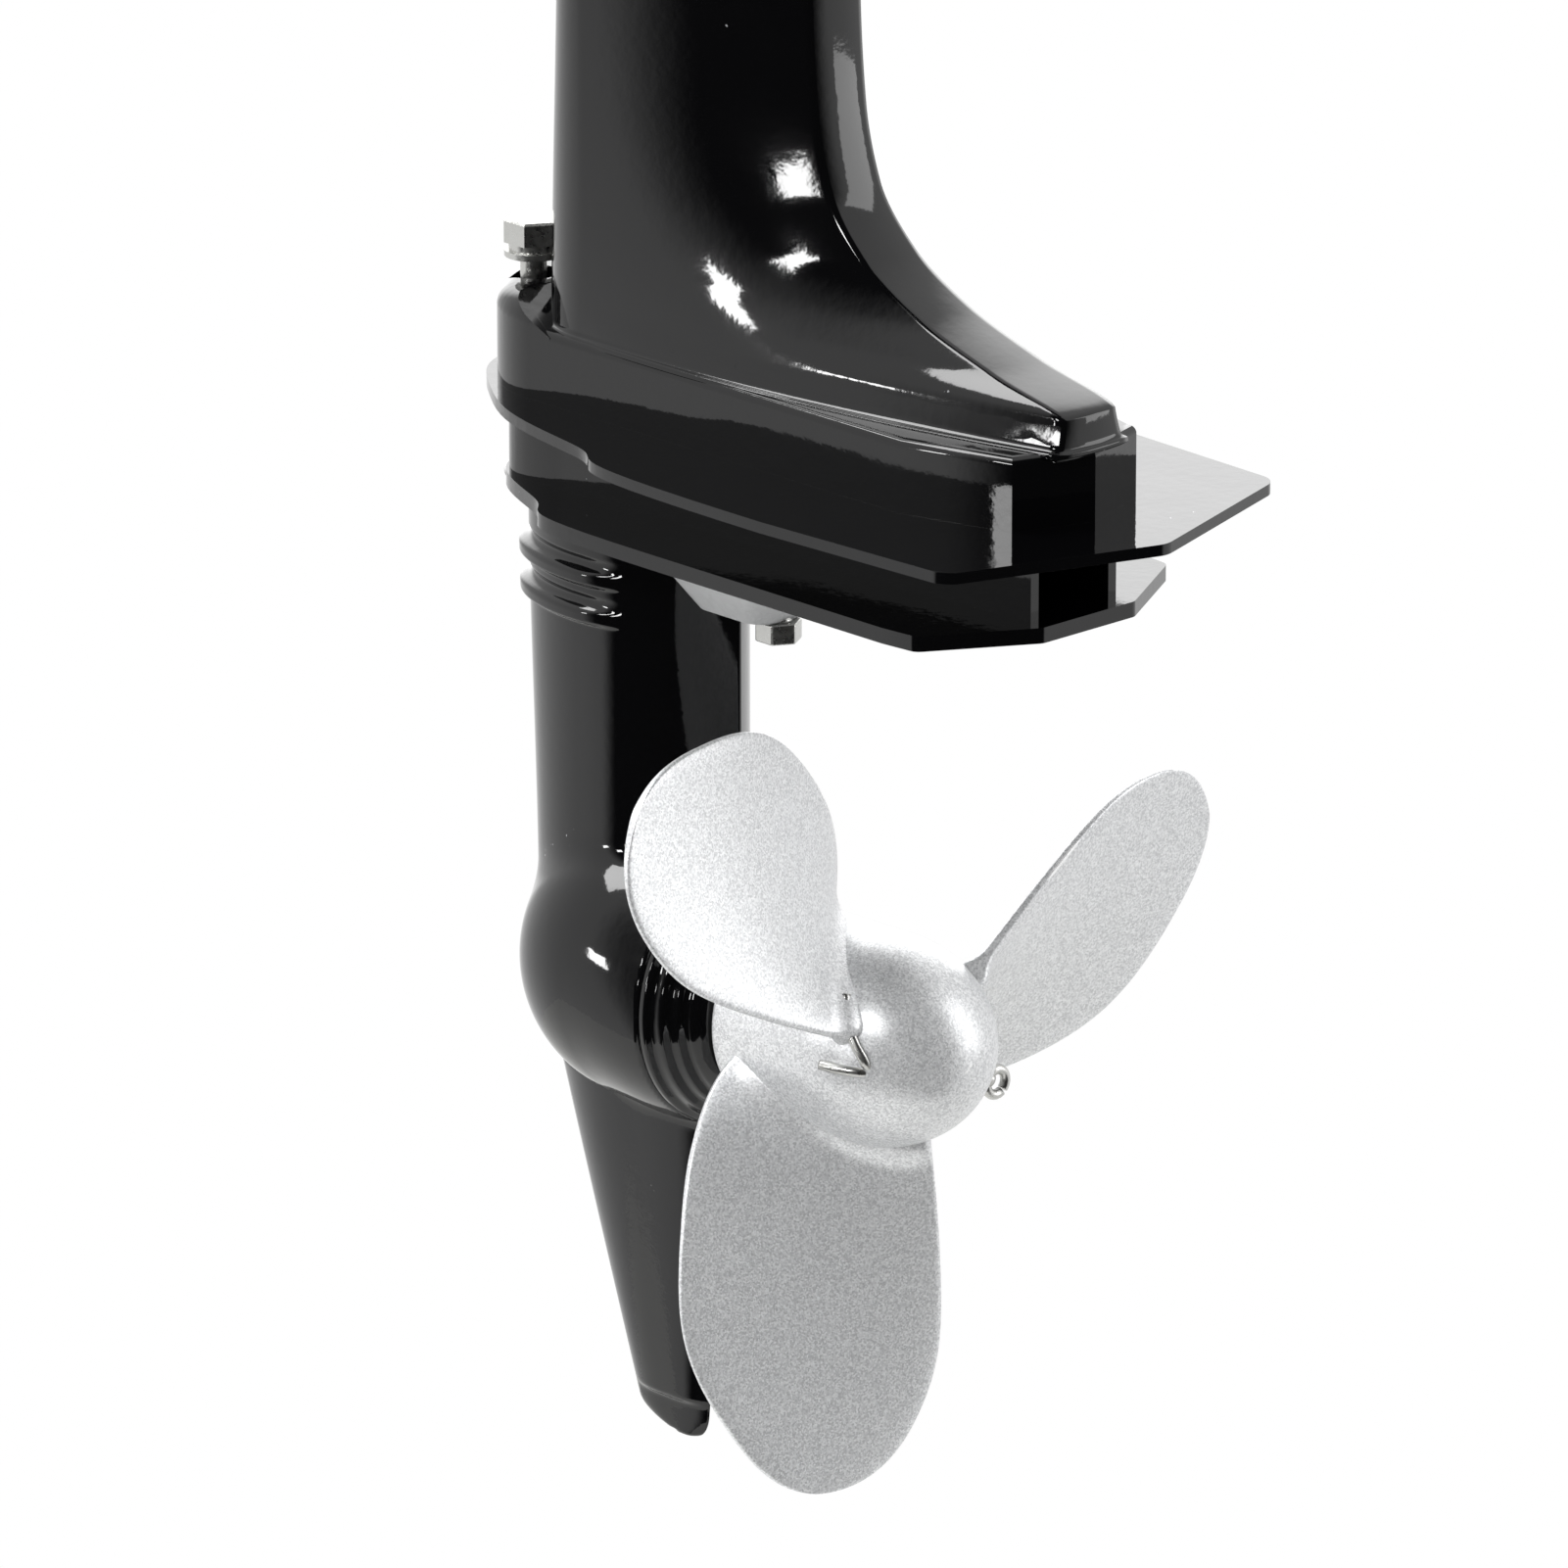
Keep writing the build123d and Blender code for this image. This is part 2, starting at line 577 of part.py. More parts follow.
# Propeller shaft, cross-drilled for the shear pin and the split pin
SHEAR_PIN_U = 47.0
SHEAR_PIN_R = 2.0
SHEAR_PIN_HALF = 13.0
PROP_SHAFT_ENDS = (BEARING_BACK + 1.0, 88.0)


def pin_plane(station, tilt):
    """Plane square to a cross pin through the propeller shaft's axis."""
    lean = radians(tilt)
    return Plane(
        origin=(DRIVE_X + station, 0, SHAFT_Z), x_dir=(1, 0, 0), z_dir=(0, cos(lean), sin(lean))
    )


with BuildPart() as propeller_shaft:
    rod(across(PROP_SHAFT_ENDS[0]), PROP_SHAFT_R, PROP_SHAFT_ENDS[1] - PROP_SHAFT_ENDS[0])
    chamfer(propeller_shaft.edges().filter_by(GeomType.CIRCLE), length=0.8)
    rod(pin_plane(SHEAR_PIN_U, 0).offset(-10), SHEAR_PIN_R + 0.02, 20, mode=Mode.SUBTRACT)
    rod(pin_plane(COTTER_U, COTTER_TILT).offset(-10), COTTER_R + 0.1, 20, mode=Mode.SUBTRACT)
propeller_shaft.part.label = "propeller_shaft"
export_step(propeller_shaft.part, "parts/propeller_shaft.step")

with BuildPart() as shear_pin:
    rod(pin_plane(SHEAR_PIN_U, 0).offset(-SHEAR_PIN_HALF), SHEAR_PIN_R, 2 * SHEAR_PIN_HALF)
shear_pin.part.label = "shear_pin"
export_step(shear_pin.part, "parts/shear_pin.step")

# Split pin: round shank, ring eye to starboard, two legs bent apart to port
EYE_CENTRE = 23.0
EYE_R = 3.2
EYE_WIRE = 1.1
NOSE_HOLE = 17.5
with BuildPart() as cotter_pin:
    rod(pin_plane(COTTER_U, COTTER_TILT).offset(-NOSE_HOLE), COTTER_R, EYE_CENTRE + NOSE_HOLE - EYE_R + 0.6)
    lean = radians(COTTER_TILT)
    eye_plane = Plane(
        origin=pin_plane(COTTER_U, COTTER_TILT).offset(EYE_CENTRE).origin,
        x_dir=(0, cos(lean), sin(lean)),
        z_dir=(0, sin(lean), -cos(lean)),
    )
    with BuildSketch(eye_plane) as eye_wire:
        with Locations((EYE_R, 0)):
            Circle(EYE_WIRE)
    revolve(eye_wire.sketch, axis=Axis(eye_plane.origin, (1, 0, 0)))
cotter_pin.part.label = "cotter_pin"
export_step(cotter_pin.part, "parts/cotter_pin.step")


# Propeller: three helical blades on an egg-nosed hub
BLADE_TURNS = range(-50, 41, 10)
BLADE_LEAD = ((16.0, -45.0), (35.0, -42.0), (52.0, -33.5), (68.0, -23.0), (81.0, -8.5), (BLADE_R, 5.0))
BLADE_TRAIL = ((84.5, 15.0), (77.0, 21.0), (60.0, 28.0), (40.0, 31.0), (16.0, 36.0))


def polar(reach, angle):
    """Point of the blade's outline seen along the shaft."""
    return (reach * cos(radians(angle)), reach * sin(radians(angle)))


with BuildPart() as blade_slab:
    blade_sections = []
    for turned in BLADE_TURNS:
        station = BLADE_MID_U + BLADE_PITCH * turned / 360
        direction = radians(turned)
        radial = Plane(
            origin=(DRIVE_X + station, 0, SHAFT_Z),
            x_dir=(0, cos(direction), sin(direction)),
            z_dir=(0, sin(direction), -cos(direction)),
        )
        with BuildSketch(radial) as blade_section:
            Polygon(
                (14.0, -ROOT_THICK / 2),
                (BLADE_R + 4, -TIP_THICK / 2),
                (BLADE_R + 4, TIP_THICK / 2),
                (14.0, ROOT_THICK / 2),
                align=None,
            )
        blade_sections.append(blade_section.sketch)
    loft(blade_sections)
with BuildPart() as blade:
    with BuildSketch(across(0)) as blade_outline:
        with BuildLine():
            Spline(*[polar(*point) for point in BLADE_LEAD + BLADE_TRAIL])
            Line(polar(*BLADE_TRAIL[-1]), polar(*BLADE_LEAD[0]))
        make_face()
    extrude(blade_outline.sketch, amount=120)
    add(blade_slab.part, mode=Mode.INTERSECT)

with BuildPart() as propeller:
    with BuildSketch(MIDDLE) as hub_side:
        with BuildLine():
            Polyline((HUB_NOSE, 0), (HUB_FRONT, 0), (HUB_FRONT, HUB_R - 1.5), (HUB_FRONT + 1.5, HUB_R - 0.5))
            Line((HUB_FRONT + 1.5, HUB_R - 0.5), (HUB_CYL_END - 8, HUB_R))
            Spline(
                (HUB_CYL_END - 8, HUB_R),
                (HUB_CYL_END + 9, 0.83 * HUB_R),
                (HUB_NOSE, 0),
                tangents=[(1, 0), (0, -1)],
            )
        make_face()
    revolve(hub_side.sketch, axis=PROP_AXIS)
    for number in range(BLADE_COUNT):
        add(blade.part.rotate(PROP_AXIS, BLADE_FIRST + 360 / BLADE_COUNT * number))
    rod(across(HUB_FRONT - 1), PROP_SHAFT_R + 0.03, PROP_SHAFT_ENDS[1] - HUB_FRONT + 1.5, mode=Mode.SUBTRACT)
    with BuildSketch(across(HUB_FRONT - 1)) as pin_slot:
        Rectangle(2 * SHEAR_PIN_HALF + 1, 2 * SHEAR_PIN_R + 0.2)
    extrude(pin_slot.sketch, amount=SHEAR_PIN_U + SHEAR_PIN_R - HUB_FRONT + 1.3, mode=Mode.SUBTRACT)
    rod(pin_plane(COTTER_U, COTTER_TILT).offset(-30), COTTER_R + 0.1, 60, mode=Mode.SUBTRACT)
propeller.part.label = "propeller"
export_step(propeller.part, "parts/propeller.step")

# Water pump on the gearcase: inverted cup with its inlet, the vaned rubber impeller in it
PUMP_FOOT = PLATE_TOP - PLATE_THICK
PUMP_ROOF = 3.0
IMPELLER_GAP = 0.4
WATER_TUBE_R = 2.5
WATER_TUBE_PLACE = (9.5, -7.5)
WATER_TUBE_TOP = 601.0
with BuildPart() as water_pump_housing:
    rod(at(PUMP_FOOT + 0.05), PUMP_R, PUMP_TOP - PUMP_FOOT)
    rod(at(PUMP_FOOT), PUMP_ROOM_R, PUMP_TOP - PUMP_FOOT - PUMP_ROOF, mode=Mode.SUBTRACT)
    rod(at(PUMP_FOOT), DRIVE_R + RUN_FIT, 40, mode=Mode.SUBTRACT)
    fillet(water_pump_housing.faces().sort_by(Axis.Z)[-1].outer_wire().edges(), radius=1.5)
water_pump_housing.part.label = "water_pump_housing"
export_step(water_pump_housing.part, "parts/water_pump_housing.step")

with BuildPart() as water_pump_impeller:
    vane_high = PUMP_TOP - PUMP_FOOT - PUMP_ROOF - 2 * IMPELLER_GAP
    with BuildSketch(at(PUMP_FOOT + IMPELLER_GAP)) as vanes:
        Circle(7.0)
        with PolarLocations(6.6, IMPELLER_VANES):
            Rectangle(2 * (PUMP_ROOM_R - IMPELLER_GAP - 6.6), 1.4)
        Circle(DRIVE_R + 0.02, mode=Mode.SUBTRACT)
    extrude(vanes.sketch, amount=vane_high)
water_pump_impeller.part.label = "water_pump_impeller"
export_step(water_pump_impeller.part, "parts/water_pump_impeller.step")

# Copper tube that carries the cooling water up to the engine
with BuildPart() as water_tube:
    with BuildSketch(at(PUMP_TOP + 0.1)) as tube_wall:
        with Locations(WATER_TUBE_PLACE):
            Circle(WATER_TUBE_R)
            Circle(WATER_TUBE_R - 0.6, mode=Mode.SUBTRACT)
    extrude(tube_wall.sketch, amount=WATER_TUBE_TOP - PUMP_TOP)
water_tube.part.label = "water_tube"
export_step(water_tube.part, "parts/water_tube.step")

# Sacrificial anode: rough cast lump under the lower plate, with its screw
ANODE_MID_U = 31.0
ANODE_THICK = 17.0
ANODE_SCREW_U = 38.0
with BuildPart() as anode:
    with BuildSketch(at(RIM_TOP - RIM_THICK - 0.05)) as anode_top:
        with Locations((ANODE_MID_U, 0)):
            Rectangle(36, 26)
        fillet(anode_top.vertices(), radius=5)
    with BuildSketch(at(RIM_TOP - RIM_THICK - 9)) as anode_mid:
        with Locations((ANODE_MID_U - 1, 0)):
            Rectangle(34, 22)
        fillet(anode_mid.vertices(), radius=6)
    with BuildSketch(at(RIM_TOP - RIM_THICK - ANODE_THICK)) as anode_low:
        with Locations((ANODE_MID_U - 1, 0)):
            Rectangle(20, 13)
        fillet(anode_low.vertices(), radius=5)
    loft([anode_top.sketch, anode_mid.sketch, anode_low.sketch], ruled=True)
    extrude(strut_outline(at(RIM_TOP - 40), -26.5, STRUT_HALF, SEAT_GAP), amount=60, mode=Mode.SUBTRACT)
    with BuildSketch(at(RIM_TOP - 40)) as anode_hole:
        with Locations((ANODE_SCREW_U, 0)):
            Circle(2.6)
    extrude(anode_hole.sketch, amount=60, mode=Mode.SUBTRACT)
anode.part.label = "anode"
export_step(anode.part, "parts/anode.step")

with BuildPart() as anode_screw:
    with BuildSketch(at(RIM_TOP - RIM_THICK - ANODE_THICK - 4.1)) as screw_head:
        with Locations((ANODE_SCREW_U, 0)):
            RegularPolygon(4.6, 6)
    extrude(screw_head.sketch, amount=4)
    with BuildSketch(at(RIM_TOP - RIM_THICK - ANODE_THICK - 0.2)) as screw_shank:
        with Locations((ANODE_SCREW_U, 0)):
            Circle(2.5)
    extrude(screw_shank.sketch, amount=ANODE_THICK + 0.1)
anode_screw.part.label = "anode_screw"
export_step(anode_screw.part, "parts/anode_screw.step")

# Two bolts through the skirt's front boss into the gearcase: hexagon heads on two washers
HEAD_ACROSS = 10.0
HEAD_HIGH = 4.6
WASHER_FOOT = 137.1
FLAT_WASHER = (5.6, 1.2)
SPRING_WASHER = (4.8, 1.5)
with BuildPart() as housing_bolt:
    for bolt_v in (-BOLT_V, BOLT_V):
        foot = RIM_TOP + 1.5
        for radius, height in ((BOLT_R - 0.45, WASHER_FOOT - foot), FLAT_WASHER, SPRING_WASHER):
            with BuildSketch(at(foot)) as round_step:
                with Locations((BOLT_U, bolt_v)):
                    Circle(radius)
            extrude(round_step.sketch, amount=height)
            foot += height
        with BuildSketch(at(foot)) as head:
            with Locations((BOLT_U, bolt_v)):
                RegularPolygon(HEAD_ACROSS / 2, 6, major_radius=False)
        extrude(head.sketch, amount=HEAD_HIGH)
    chamfer(housing_bolt.faces().sort_by(Axis.Z)[-2:].edges(), length=0.4)
housing_bolt.part.label = "housing_bolt"
export_step(housing_bolt.part, "parts/housing_bolt.step")

# Drive shaft from the pinion up to the crankshaft
DRIVE_SHAFT_FOOT = 11.5
CRANK_COUPLING_Z = 78.0
with BuildPart() as drive_shaft:
    rod(at(DRIVE_SHAFT_FOOT), DRIVE_R, CRANK_COUPLING_Z - SHAFT_Z - DRIVE_SHAFT_FOOT)
    chamfer(drive_shaft.edges().filter_by(GeomType.CIRCLE), length=0.6)
drive_shaft.part.label = "drive_shaft"
export_step(drive_shaft.part, "parts/drive_shaft.step")

# Steering tube: flanged at both ends, between the leg and the engine pan
TUBE_FOOT_Z = SHAFT_Z + TUBE_FOOT_H
TOP_FLANGE_FOOT = PAN_Z - FLANGE_THICK - 0.05
with BuildPart() as steering_tube:
    rod(Plane(origin=(DRIVE_X, 0, TUBE_FOOT_Z + 0.05)), TUBE_R, PAN_Z - TUBE_FOOT_Z - 0.1)
    rod(Plane(origin=(DRIVE_X, 0, TUBE_FOOT_Z + 0.05)), FLANGE_R, FLANGE_THICK)
    rod(level(TOP_FLANGE_FOOT), FLANGE_R, FLANGE_THICK)
    rod(level(TUBE_FOOT_Z - 1), TUBE_R - TUBE_WALL, PAN_Z - TUBE_FOOT_Z + 2, mode=Mode.SUBTRACT)
steering_tube.part.label = "steering_tube"
export_step(steering_tube.part, "parts/steering_tube.step")

FLANGE_BOLT_R = 29.5
FLANGE_BOLT_HEAD = 3.4
with BuildPart() as flange_bolts:
    with BuildSketch(level(TUBE_FOOT_Z + FLANGE_THICK + 0.1)) as heads:
        with PolarLocations(FLANGE_BOLT_R, 4, start_angle=45):
            RegularPolygon(4.4, 6)
    extrude(heads.sketch, amount=FLANGE_BOLT_HEAD)
flange_bolts.part.label = "flange_bolts"
export_step(flange_bolts.part, "parts/flange_bolts.step")

# Swivel bracket: bored column, tilt eye, joining webs and the trim lug
SWIVEL_FOOT = TUBE_FOOT_Z + FLANGE_THICK + BUSH_FLANGE + 4.5
SWIVEL_TOP = TOP_FLANGE_FOOT - BUSH_FLANGE - SEAT_GAP
SWIVEL_BORE = TUBE_R + RUN_FIT + BUSH_WALL
SWIVEL_R = SWIVEL_BORE + SWIVEL_WALL
WEB_HALF = 9.0
LUG_HALF = 26.0
with BuildPart() as swivel_bracket:
    rod(level(SWIVEL_FOOT), SWIVEL_R, SWIVEL_TOP - SWIVEL_FOOT)
    with BuildSketch(SEAT.offset(-(CLAMP_INNER - SEAT_GAP))) as eye:
        with Locations((TILT_X, TILT_Z)):
            Circle(TILT_EYE_R)
    extrude(eye.sketch, amount=2 * (CLAMP_INNER - SEAT_GAP))
    with BuildSketch(SEAT.offset(-LUG_HALF)) as bridge_side:
        with BuildLine():
            Polyline(
                (TILT_X, TILT_Z + TILT_EYE_R - 1.0),
                (DRIVE_X - FLANGE_R - 3, SWIVEL_TOP),
                (DRIVE_X - 10, SWIVEL_TOP),
                (DRIVE_X - 10, SWIVEL_TOP - 26),
                (TILT_X + 32, TILT_Z - 22),
                (TILT_X + 4, TILT_Z - TILT_EYE_R + 1.5),
                close=True,
            )
        make_face()
    extrude(bridge_side.sketch, amount=2 * LUG_HALF)
    with BuildSketch(SEAT.offset(-WEB_HALF / 2)) as web_side:
        with BuildLine():
            Polyline(
                (DRIVE_X - 10, SWIVEL_TOP - 20),
                (SEAT_AFT + 14, HOOK_THICK + 2),
                (SEAT_AFT + 24, -70.0),
                (DRIVE_X - SWIVEL_R - 8, TRIM_Z + 20),
                (DRIVE_X - SWIVEL_R - 8, TRIM_Z - 10),
                (DRIVE_X - 10, TRIM_Z - 22),
                close=True,
            )
        make_face()
    extrude(web_side.sketch, amount=WEB_HALF)
    with BuildSketch(SEAT.offset(-LUG_HALF)) as lug_side:
        with BuildLine():
            Polyline(
                (DRIVE_X - 10, TRIM_Z + 16),
                (TRIM_X + TRIM_PIN_R + SEAT_GAP, TRIM_Z + 11),
                (TRIM_X + TRIM_PIN_R + SEAT_GAP, TRIM_Z - 11),
                (DRIVE_X - 10, TRIM_Z - 16),
                close=True,
            )
        make_face()
    extrude(lug_side.sketch, amount=2 * LUG_HALF)
    rod(level(SWIVEL_FOOT - 1), SWIVEL_BORE, SWIVEL_TOP - SWIVEL_FOOT + 2, mode=Mode.SUBTRACT)
    rod(Plane(origin=(TILT_X, -60, TILT_Z), z_dir=(0, 1, 0)), TILT_BOLT_R + RUN_FIT, 120, mode=Mode.SUBTRACT)
swivel_bracket.part.label = "swivel_bracket"
export_step(swivel_bracket.part, "parts/swivel_bracket.step")

# Flanged nylon bushes at the two ends of the swivel bracket's bore
BUSH_LONG = 34.0
with BuildPart() as swivel_bushes:
    ring(level(SWIVEL_TOP - BUSH_LONG), SWIVEL_BORE - PRESS_GAP, TUBE_R + RUN_FIT, BUSH_LONG + BUSH_FLANGE)
    ring(level(SWIVEL_TOP + 0.02), SWIVEL_R - 1, TUBE_R + RUN_FIT, BUSH_FLANGE - 0.02)
    ring(level(SWIVEL_FOOT - BUSH_FLANGE), SWIVEL_BORE - PRESS_GAP, TUBE_R + RUN_FIT, BUSH_LONG)
    ring(level(SWIVEL_FOOT - BUSH_FLANGE), SWIVEL_R - 1, TUBE_R + RUN_FIT, BUSH_FLANGE - 0.02)
swivel_bushes.part.label = "swivel_bushes"
export_step(swivel_bushes.part, "parts/swivel_bushes.step")

# Transom clamp brackets: hooked castings with a screw boss, a tilt lug and trim holes
CLAMP_FOOT = -236.0
TRIM_HOLES = (((TRIM_X, TRIM_Z)), (TRIM_X + 8, TRIM_Z + 22), (TRIM_X + 13, TRIM_Z + 45))


def clamp_bracket(side):
    """One transom clamp; side is +1 to starboard and -1 to port."""
    middle = side * CLAMP_Y
    with BuildPart() as bracket:
        with BuildSketch(SEAT.offset(-middle - CLAMP_THICK / 2)) as side_view:
            with BuildLine():
                Polyline(
                    (JAW_OUTER, SCREW_Z - 12),
                    (JAW_OUTER - 2, -6),
                    (JAW_OUTER + 14, HOOK_THICK),
                    (TILT_X - 20, HOOK_THICK + 2),
                    (TILT_X - 10, TILT_Z + 6),
                    (TILT_X + 10, TILT_Z + 6),
                    (SEAT_AFT + 28, -6),
                    (SEAT_AFT + 34, -90),
                    (TRIM_X + 24, TRIM_Z + 44),
                    (TRIM_X + 14, TRIM_Z - 12),
                    (TRIM_X, CLAMP_FOOT),
                    (SEAT_AFT, CLAMP_FOOT),
                    (SEAT_AFT, 0),
                    (JAW_INNER, 0),
                    (JAW_INNER, SCREW_Z - 12),
                    close=True,
                )
            make_face()
            with Locations((TILT_X, TILT_Z)):
                Circle(TILT_EYE_R + 1)
            fillet(side_view.vertices().sort_by(Axis.X)[:4], radius=3)
        extrude(side_view.sketch, amount=CLAMP_THICK)
        # Flange that lies on the transom's outer face, and the seat on its top edge
        with BuildSketch(SEAT.offset(-middle - CLAMP_THICK / 2 - 6)) as flange_side:
            with BuildLine():
                Polyline(
                    (SEAT_AFT, CLAMP_FOOT),
                    (SEAT_AFT, 0),
                    (JAW_INNER + 4, 0),
                    (JAW_INNER + 4, 5),
                    (SEAT_AFT + 5, 5),
                    (SEAT_AFT + 5, CLAMP_FOOT),
                    close=True,
                )
            make_face()
        extrude(flange_side.sketch, amount=CLAMP_THICK + 12)
        rod(Plane(origin=(JAW_OUTER - 4, middle, SCREW_Z), z_dir=(1, 0, 0)), SCREW_BOSS_R, JAW_INNER - JAW_OUTER + 6)
        rod(
            Plane(origin=(JAW_OUTER - 20, middle, SCREW_Z), z_dir=(1, 0, 0)),
            SCREW_R + RUN_FIT,
            60,
            mode=Mode.SUBTRACT,
        )
        rod(Plane(origin=(TILT_X, -80, TILT_Z), z_dir=(0, 1, 0)), TILT_BOLT_R + RUN_FIT, 160, mode=Mode.SUBTRACT)
        for hole_x, hole_z in TRIM_HOLES:
            rod(
                Plane(origin=(hole_x, -80, hole_z), z_dir=(0, 1, 0)),
                TRIM_PIN_R + RUN_FIT,
                160,
                mode=Mode.SUBTRACT,
            )
    return bracket.part


for side, side_name in ((-1, "port"), (1, "starboard")):
    bracket_part = clamp_bracket(side)
    bracket_part.label = f"clamp_bracket_{side_name}"
    export_step(bracket_part, f"parts/clamp_bracket_{side_name}.step")

    screw_plane = Plane(origin=(PAD_REST - PAD_THICK + 3, side * CLAMP_Y, SCREW_Z), z_dir=(-1, 0, 0))
    with BuildPart() as clamp_screw:
        rod(screw_plane, SCREW_R, SCREW_LENGTH)
        rod(screw_plane.offset(SCREW_LENGTH - 12), SCREW_R + 3, 12)
        chamfer(clamp_screw.faces().sort_by(Axis.X)[0].edges(), length=1)
        rod(
            Plane(
                origin=screw_plane.offset(SCREW_LENGTH - 6).origin - Vector(0, 0, 40), z_dir=(0, 0, 1)
            ),
            HANDLE_R + 0.05,
            80,
            mode=Mode.SUBTRACT,
        )
    clamp_screw.part.label = f"clamp_screw_{side_name}"
    export_step(clamp_screw.part, f"parts/clamp_screw_{side_name}.step")

    handle_plane = Plane(
        origin=screw_plane.offset(SCREW_LENGTH - 6).origin - Vector(0, 0, HANDLE_HALF), z_dir=(0, 0, 1)
    )
    with BuildPart() as clamp_handle:
        rod(handle_plane, HANDLE_R, 2 * HANDLE_HALF)
        for ball in (0, 2 * HANDLE_HALF):
            with Locations(handle_plane.offset(ball).origin):
                Sphere(HANDLE_R + 2)
    clamp_handle.part.label = f"clamp_handle_{side_name}"
    export_step(clamp_handle.part, f"parts/clamp_handle_{side_name}.step")

    pad_plane = Plane(origin=(PAD_REST, side * CLAMP_Y, SCREW_Z), z_dir=(-1, 0, 0))
    with BuildPart() as clamp_pad:
        rod(pad_plane, PAD_R, 3.5)
        rod(pad_plane, SCREW_R + 4, PAD_THICK)
        chamfer(clamp_pad.faces().sort_by(Axis.X)[-1].edges(), length=1)
        rod(pad_plane.offset(PAD_THICK - 5.2), SCREW_R + RUN_FIT, 10, mode=Mode.SUBTRACT)
    clamp_pad.part.label = f"clamp_pad_{side_name}"
    export_step(clamp_pad.part, f"parts/clamp_pad_{side_name}.step")

# Tilt bolt with its nut, and the trim pin with its head and clip end
TILT_END = CLAMP_Y + CLAMP_THICK / 2
with BuildPart() as tilt_bolt:
    rod(Plane(origin=(TILT_X, -TILT_END - 0.1, TILT_Z), z_dir=(0, 1, 0)), TILT_BOLT_R, 2 * TILT_END + 12)
    with BuildSketch(Plane(origin=(TILT_X, -TILT_END - 0.1, TILT_Z), z_dir=(0, -1, 0))) as tilt_head:
        RegularPolygon(9, 6)
    extrude(tilt_head.sketch, amount=6)
    with BuildSketch(Plane(origin=(TILT_X, TILT_END + 0.1, TILT_Z), z_dir=(0, 1, 0))) as nut:
        RegularPolygon(9, 6)
        Circle(TILT_BOLT_R + 0.02, mode=Mode.SUBTRACT)
    extrude(nut.sketch, amount=8)
tilt_bolt.part.label = "tilt_bolt"
export_step(tilt_bolt.part, "parts/tilt_bolt.step")
with BuildPart() as trim_pin:
    rod(Plane(origin=(TRIM_X, -TILT_END - 0.2, TRIM_Z), z_dir=(0, 1, 0)), TRIM_PIN_R, 2 * TILT_END + 10)
    rod(Plane(origin=(TRIM_X, -TILT_END - 0.2, TRIM_Z), z_dir=(0, -1, 0)), TRIM_PIN_R + 4, 4)
trim_pin.part.label = "trim_pin"
export_step(trim_pin.part, "parts/trim_pin.step")

# Engine pan and cowl: rounded shells that meet at a level joint
COWL_MID_U = 25.0
COWL_WALL = 3.0
PAN_SECTIONS = ((PAN_Z, 92.0, 58.0, 44.0), (60.0, 110.0, 78.0, 52.0), (84.0, 119.0, 87.0, 58.0), (112.0, 123.0, 91.0, 60.0))
COWL_SECTIONS = (
    (112.4, 123.0, 91.0, 60.0),
    (165.0, 123.5, 91.0, 60.0),
    (225.0, 119.0, 87.0, 57.0),
    (270.0, 108.0, 76.0, 52.0),
    (300.0, 88.0, 57.0, 44.0),
    (314.0, 66.0, 38.0, 33.0),
)
PAN_TOP = PAN_SECTIONS[-1][0]
COWL_TOP = COWL_SECTIONS[-1][0]


def shell_sections(sections, inset=0.0, rise=0.0):
    """Rounded rectangles of a shell, whole or as its inner space."""
    drawn = []
    for z, half_long, half_wide, corner in sections:
        with BuildSketch(level(z + rise)) as outline:
            with Locations((COWL_MID_U, 0)):
                RectangleRounded(2 * (half_long - inset), 2 * (half_wide - inset), corner - inset)
        drawn.append(outline.sketch)
    return drawn


TILLER_PIVOT_U = -112.0
TILLER_PIVOT_Z = 84.0
TILLER_HALF = 13.0
EAR_THICK = 8.0
EAR_R = 14.0
TILLER_BOLT_R = 4.0
CONTROL_Z = 92.0
CONTROL_Y = 38.0
with BuildPart() as engine_pan:
    loft(shell_sections(PAN_SECTIONS))
    loft(shell_sections(PAN_SECTIONS, COWL_WALL, 4.0), mode=Mode.SUBTRACT)
    for side in (-1, 1):
        with BuildSketch(HEAD.offset(-side * (TILLER_HALF + SEAT_GAP + EAR_THICK / 2) - EAR_THICK / 2)) as ear:
            with BuildLine():
                Polyline(
                    (TILLER_PIVOT_U, TILLER_PIVOT_Z + EAR_R),
                    (-90.5, TILLER_PIVOT_Z + EAR_R + 6),
                    (-84.5, TILLER_PIVOT_Z - EAR_R - 8),
                    (TILLER_PIVOT_U, TILLER_PIVOT_Z - EAR_R),
                    close=True,
                )
            make_face()
            with Locations((TILLER_PIVOT_U, TILLER_PIVOT_Z)):
                Circle(EAR_R)
        extrude(ear.sketch, amount=EAR_THICK)
    loft(shell_sections(PAN_SECTIONS[1:], COWL_WALL, 4.0), mode=Mode.SUBTRACT)
    rod(level(PAN_Z - 1), TUBE_R - TUBE_WALL + 1, 20, mode=Mode.SUBTRACT)
    rod(
        Plane(origin=(DRIVE_X + TILLER_PIVOT_U, -60, TILLER_PIVOT_Z), z_dir=(0, 1, 0)),
        TILLER_BOLT_R + RUN_FIT,
        120,
        mode=Mode.SUBTRACT,
    )
    for side in (-1, 1):
        rod(
            Plane(origin=(DRIVE_X - 130, side * CONTROL_Y, CONTROL_Z), z_dir=(1, 0, 0)),
            4.0 + RUN_FIT,
            60,
            mode=Mode.SUBTRACT,
        )
engine_pan.part.label = "engine_pan"
export_step(engine_pan.part, "parts/engine_pan.step")

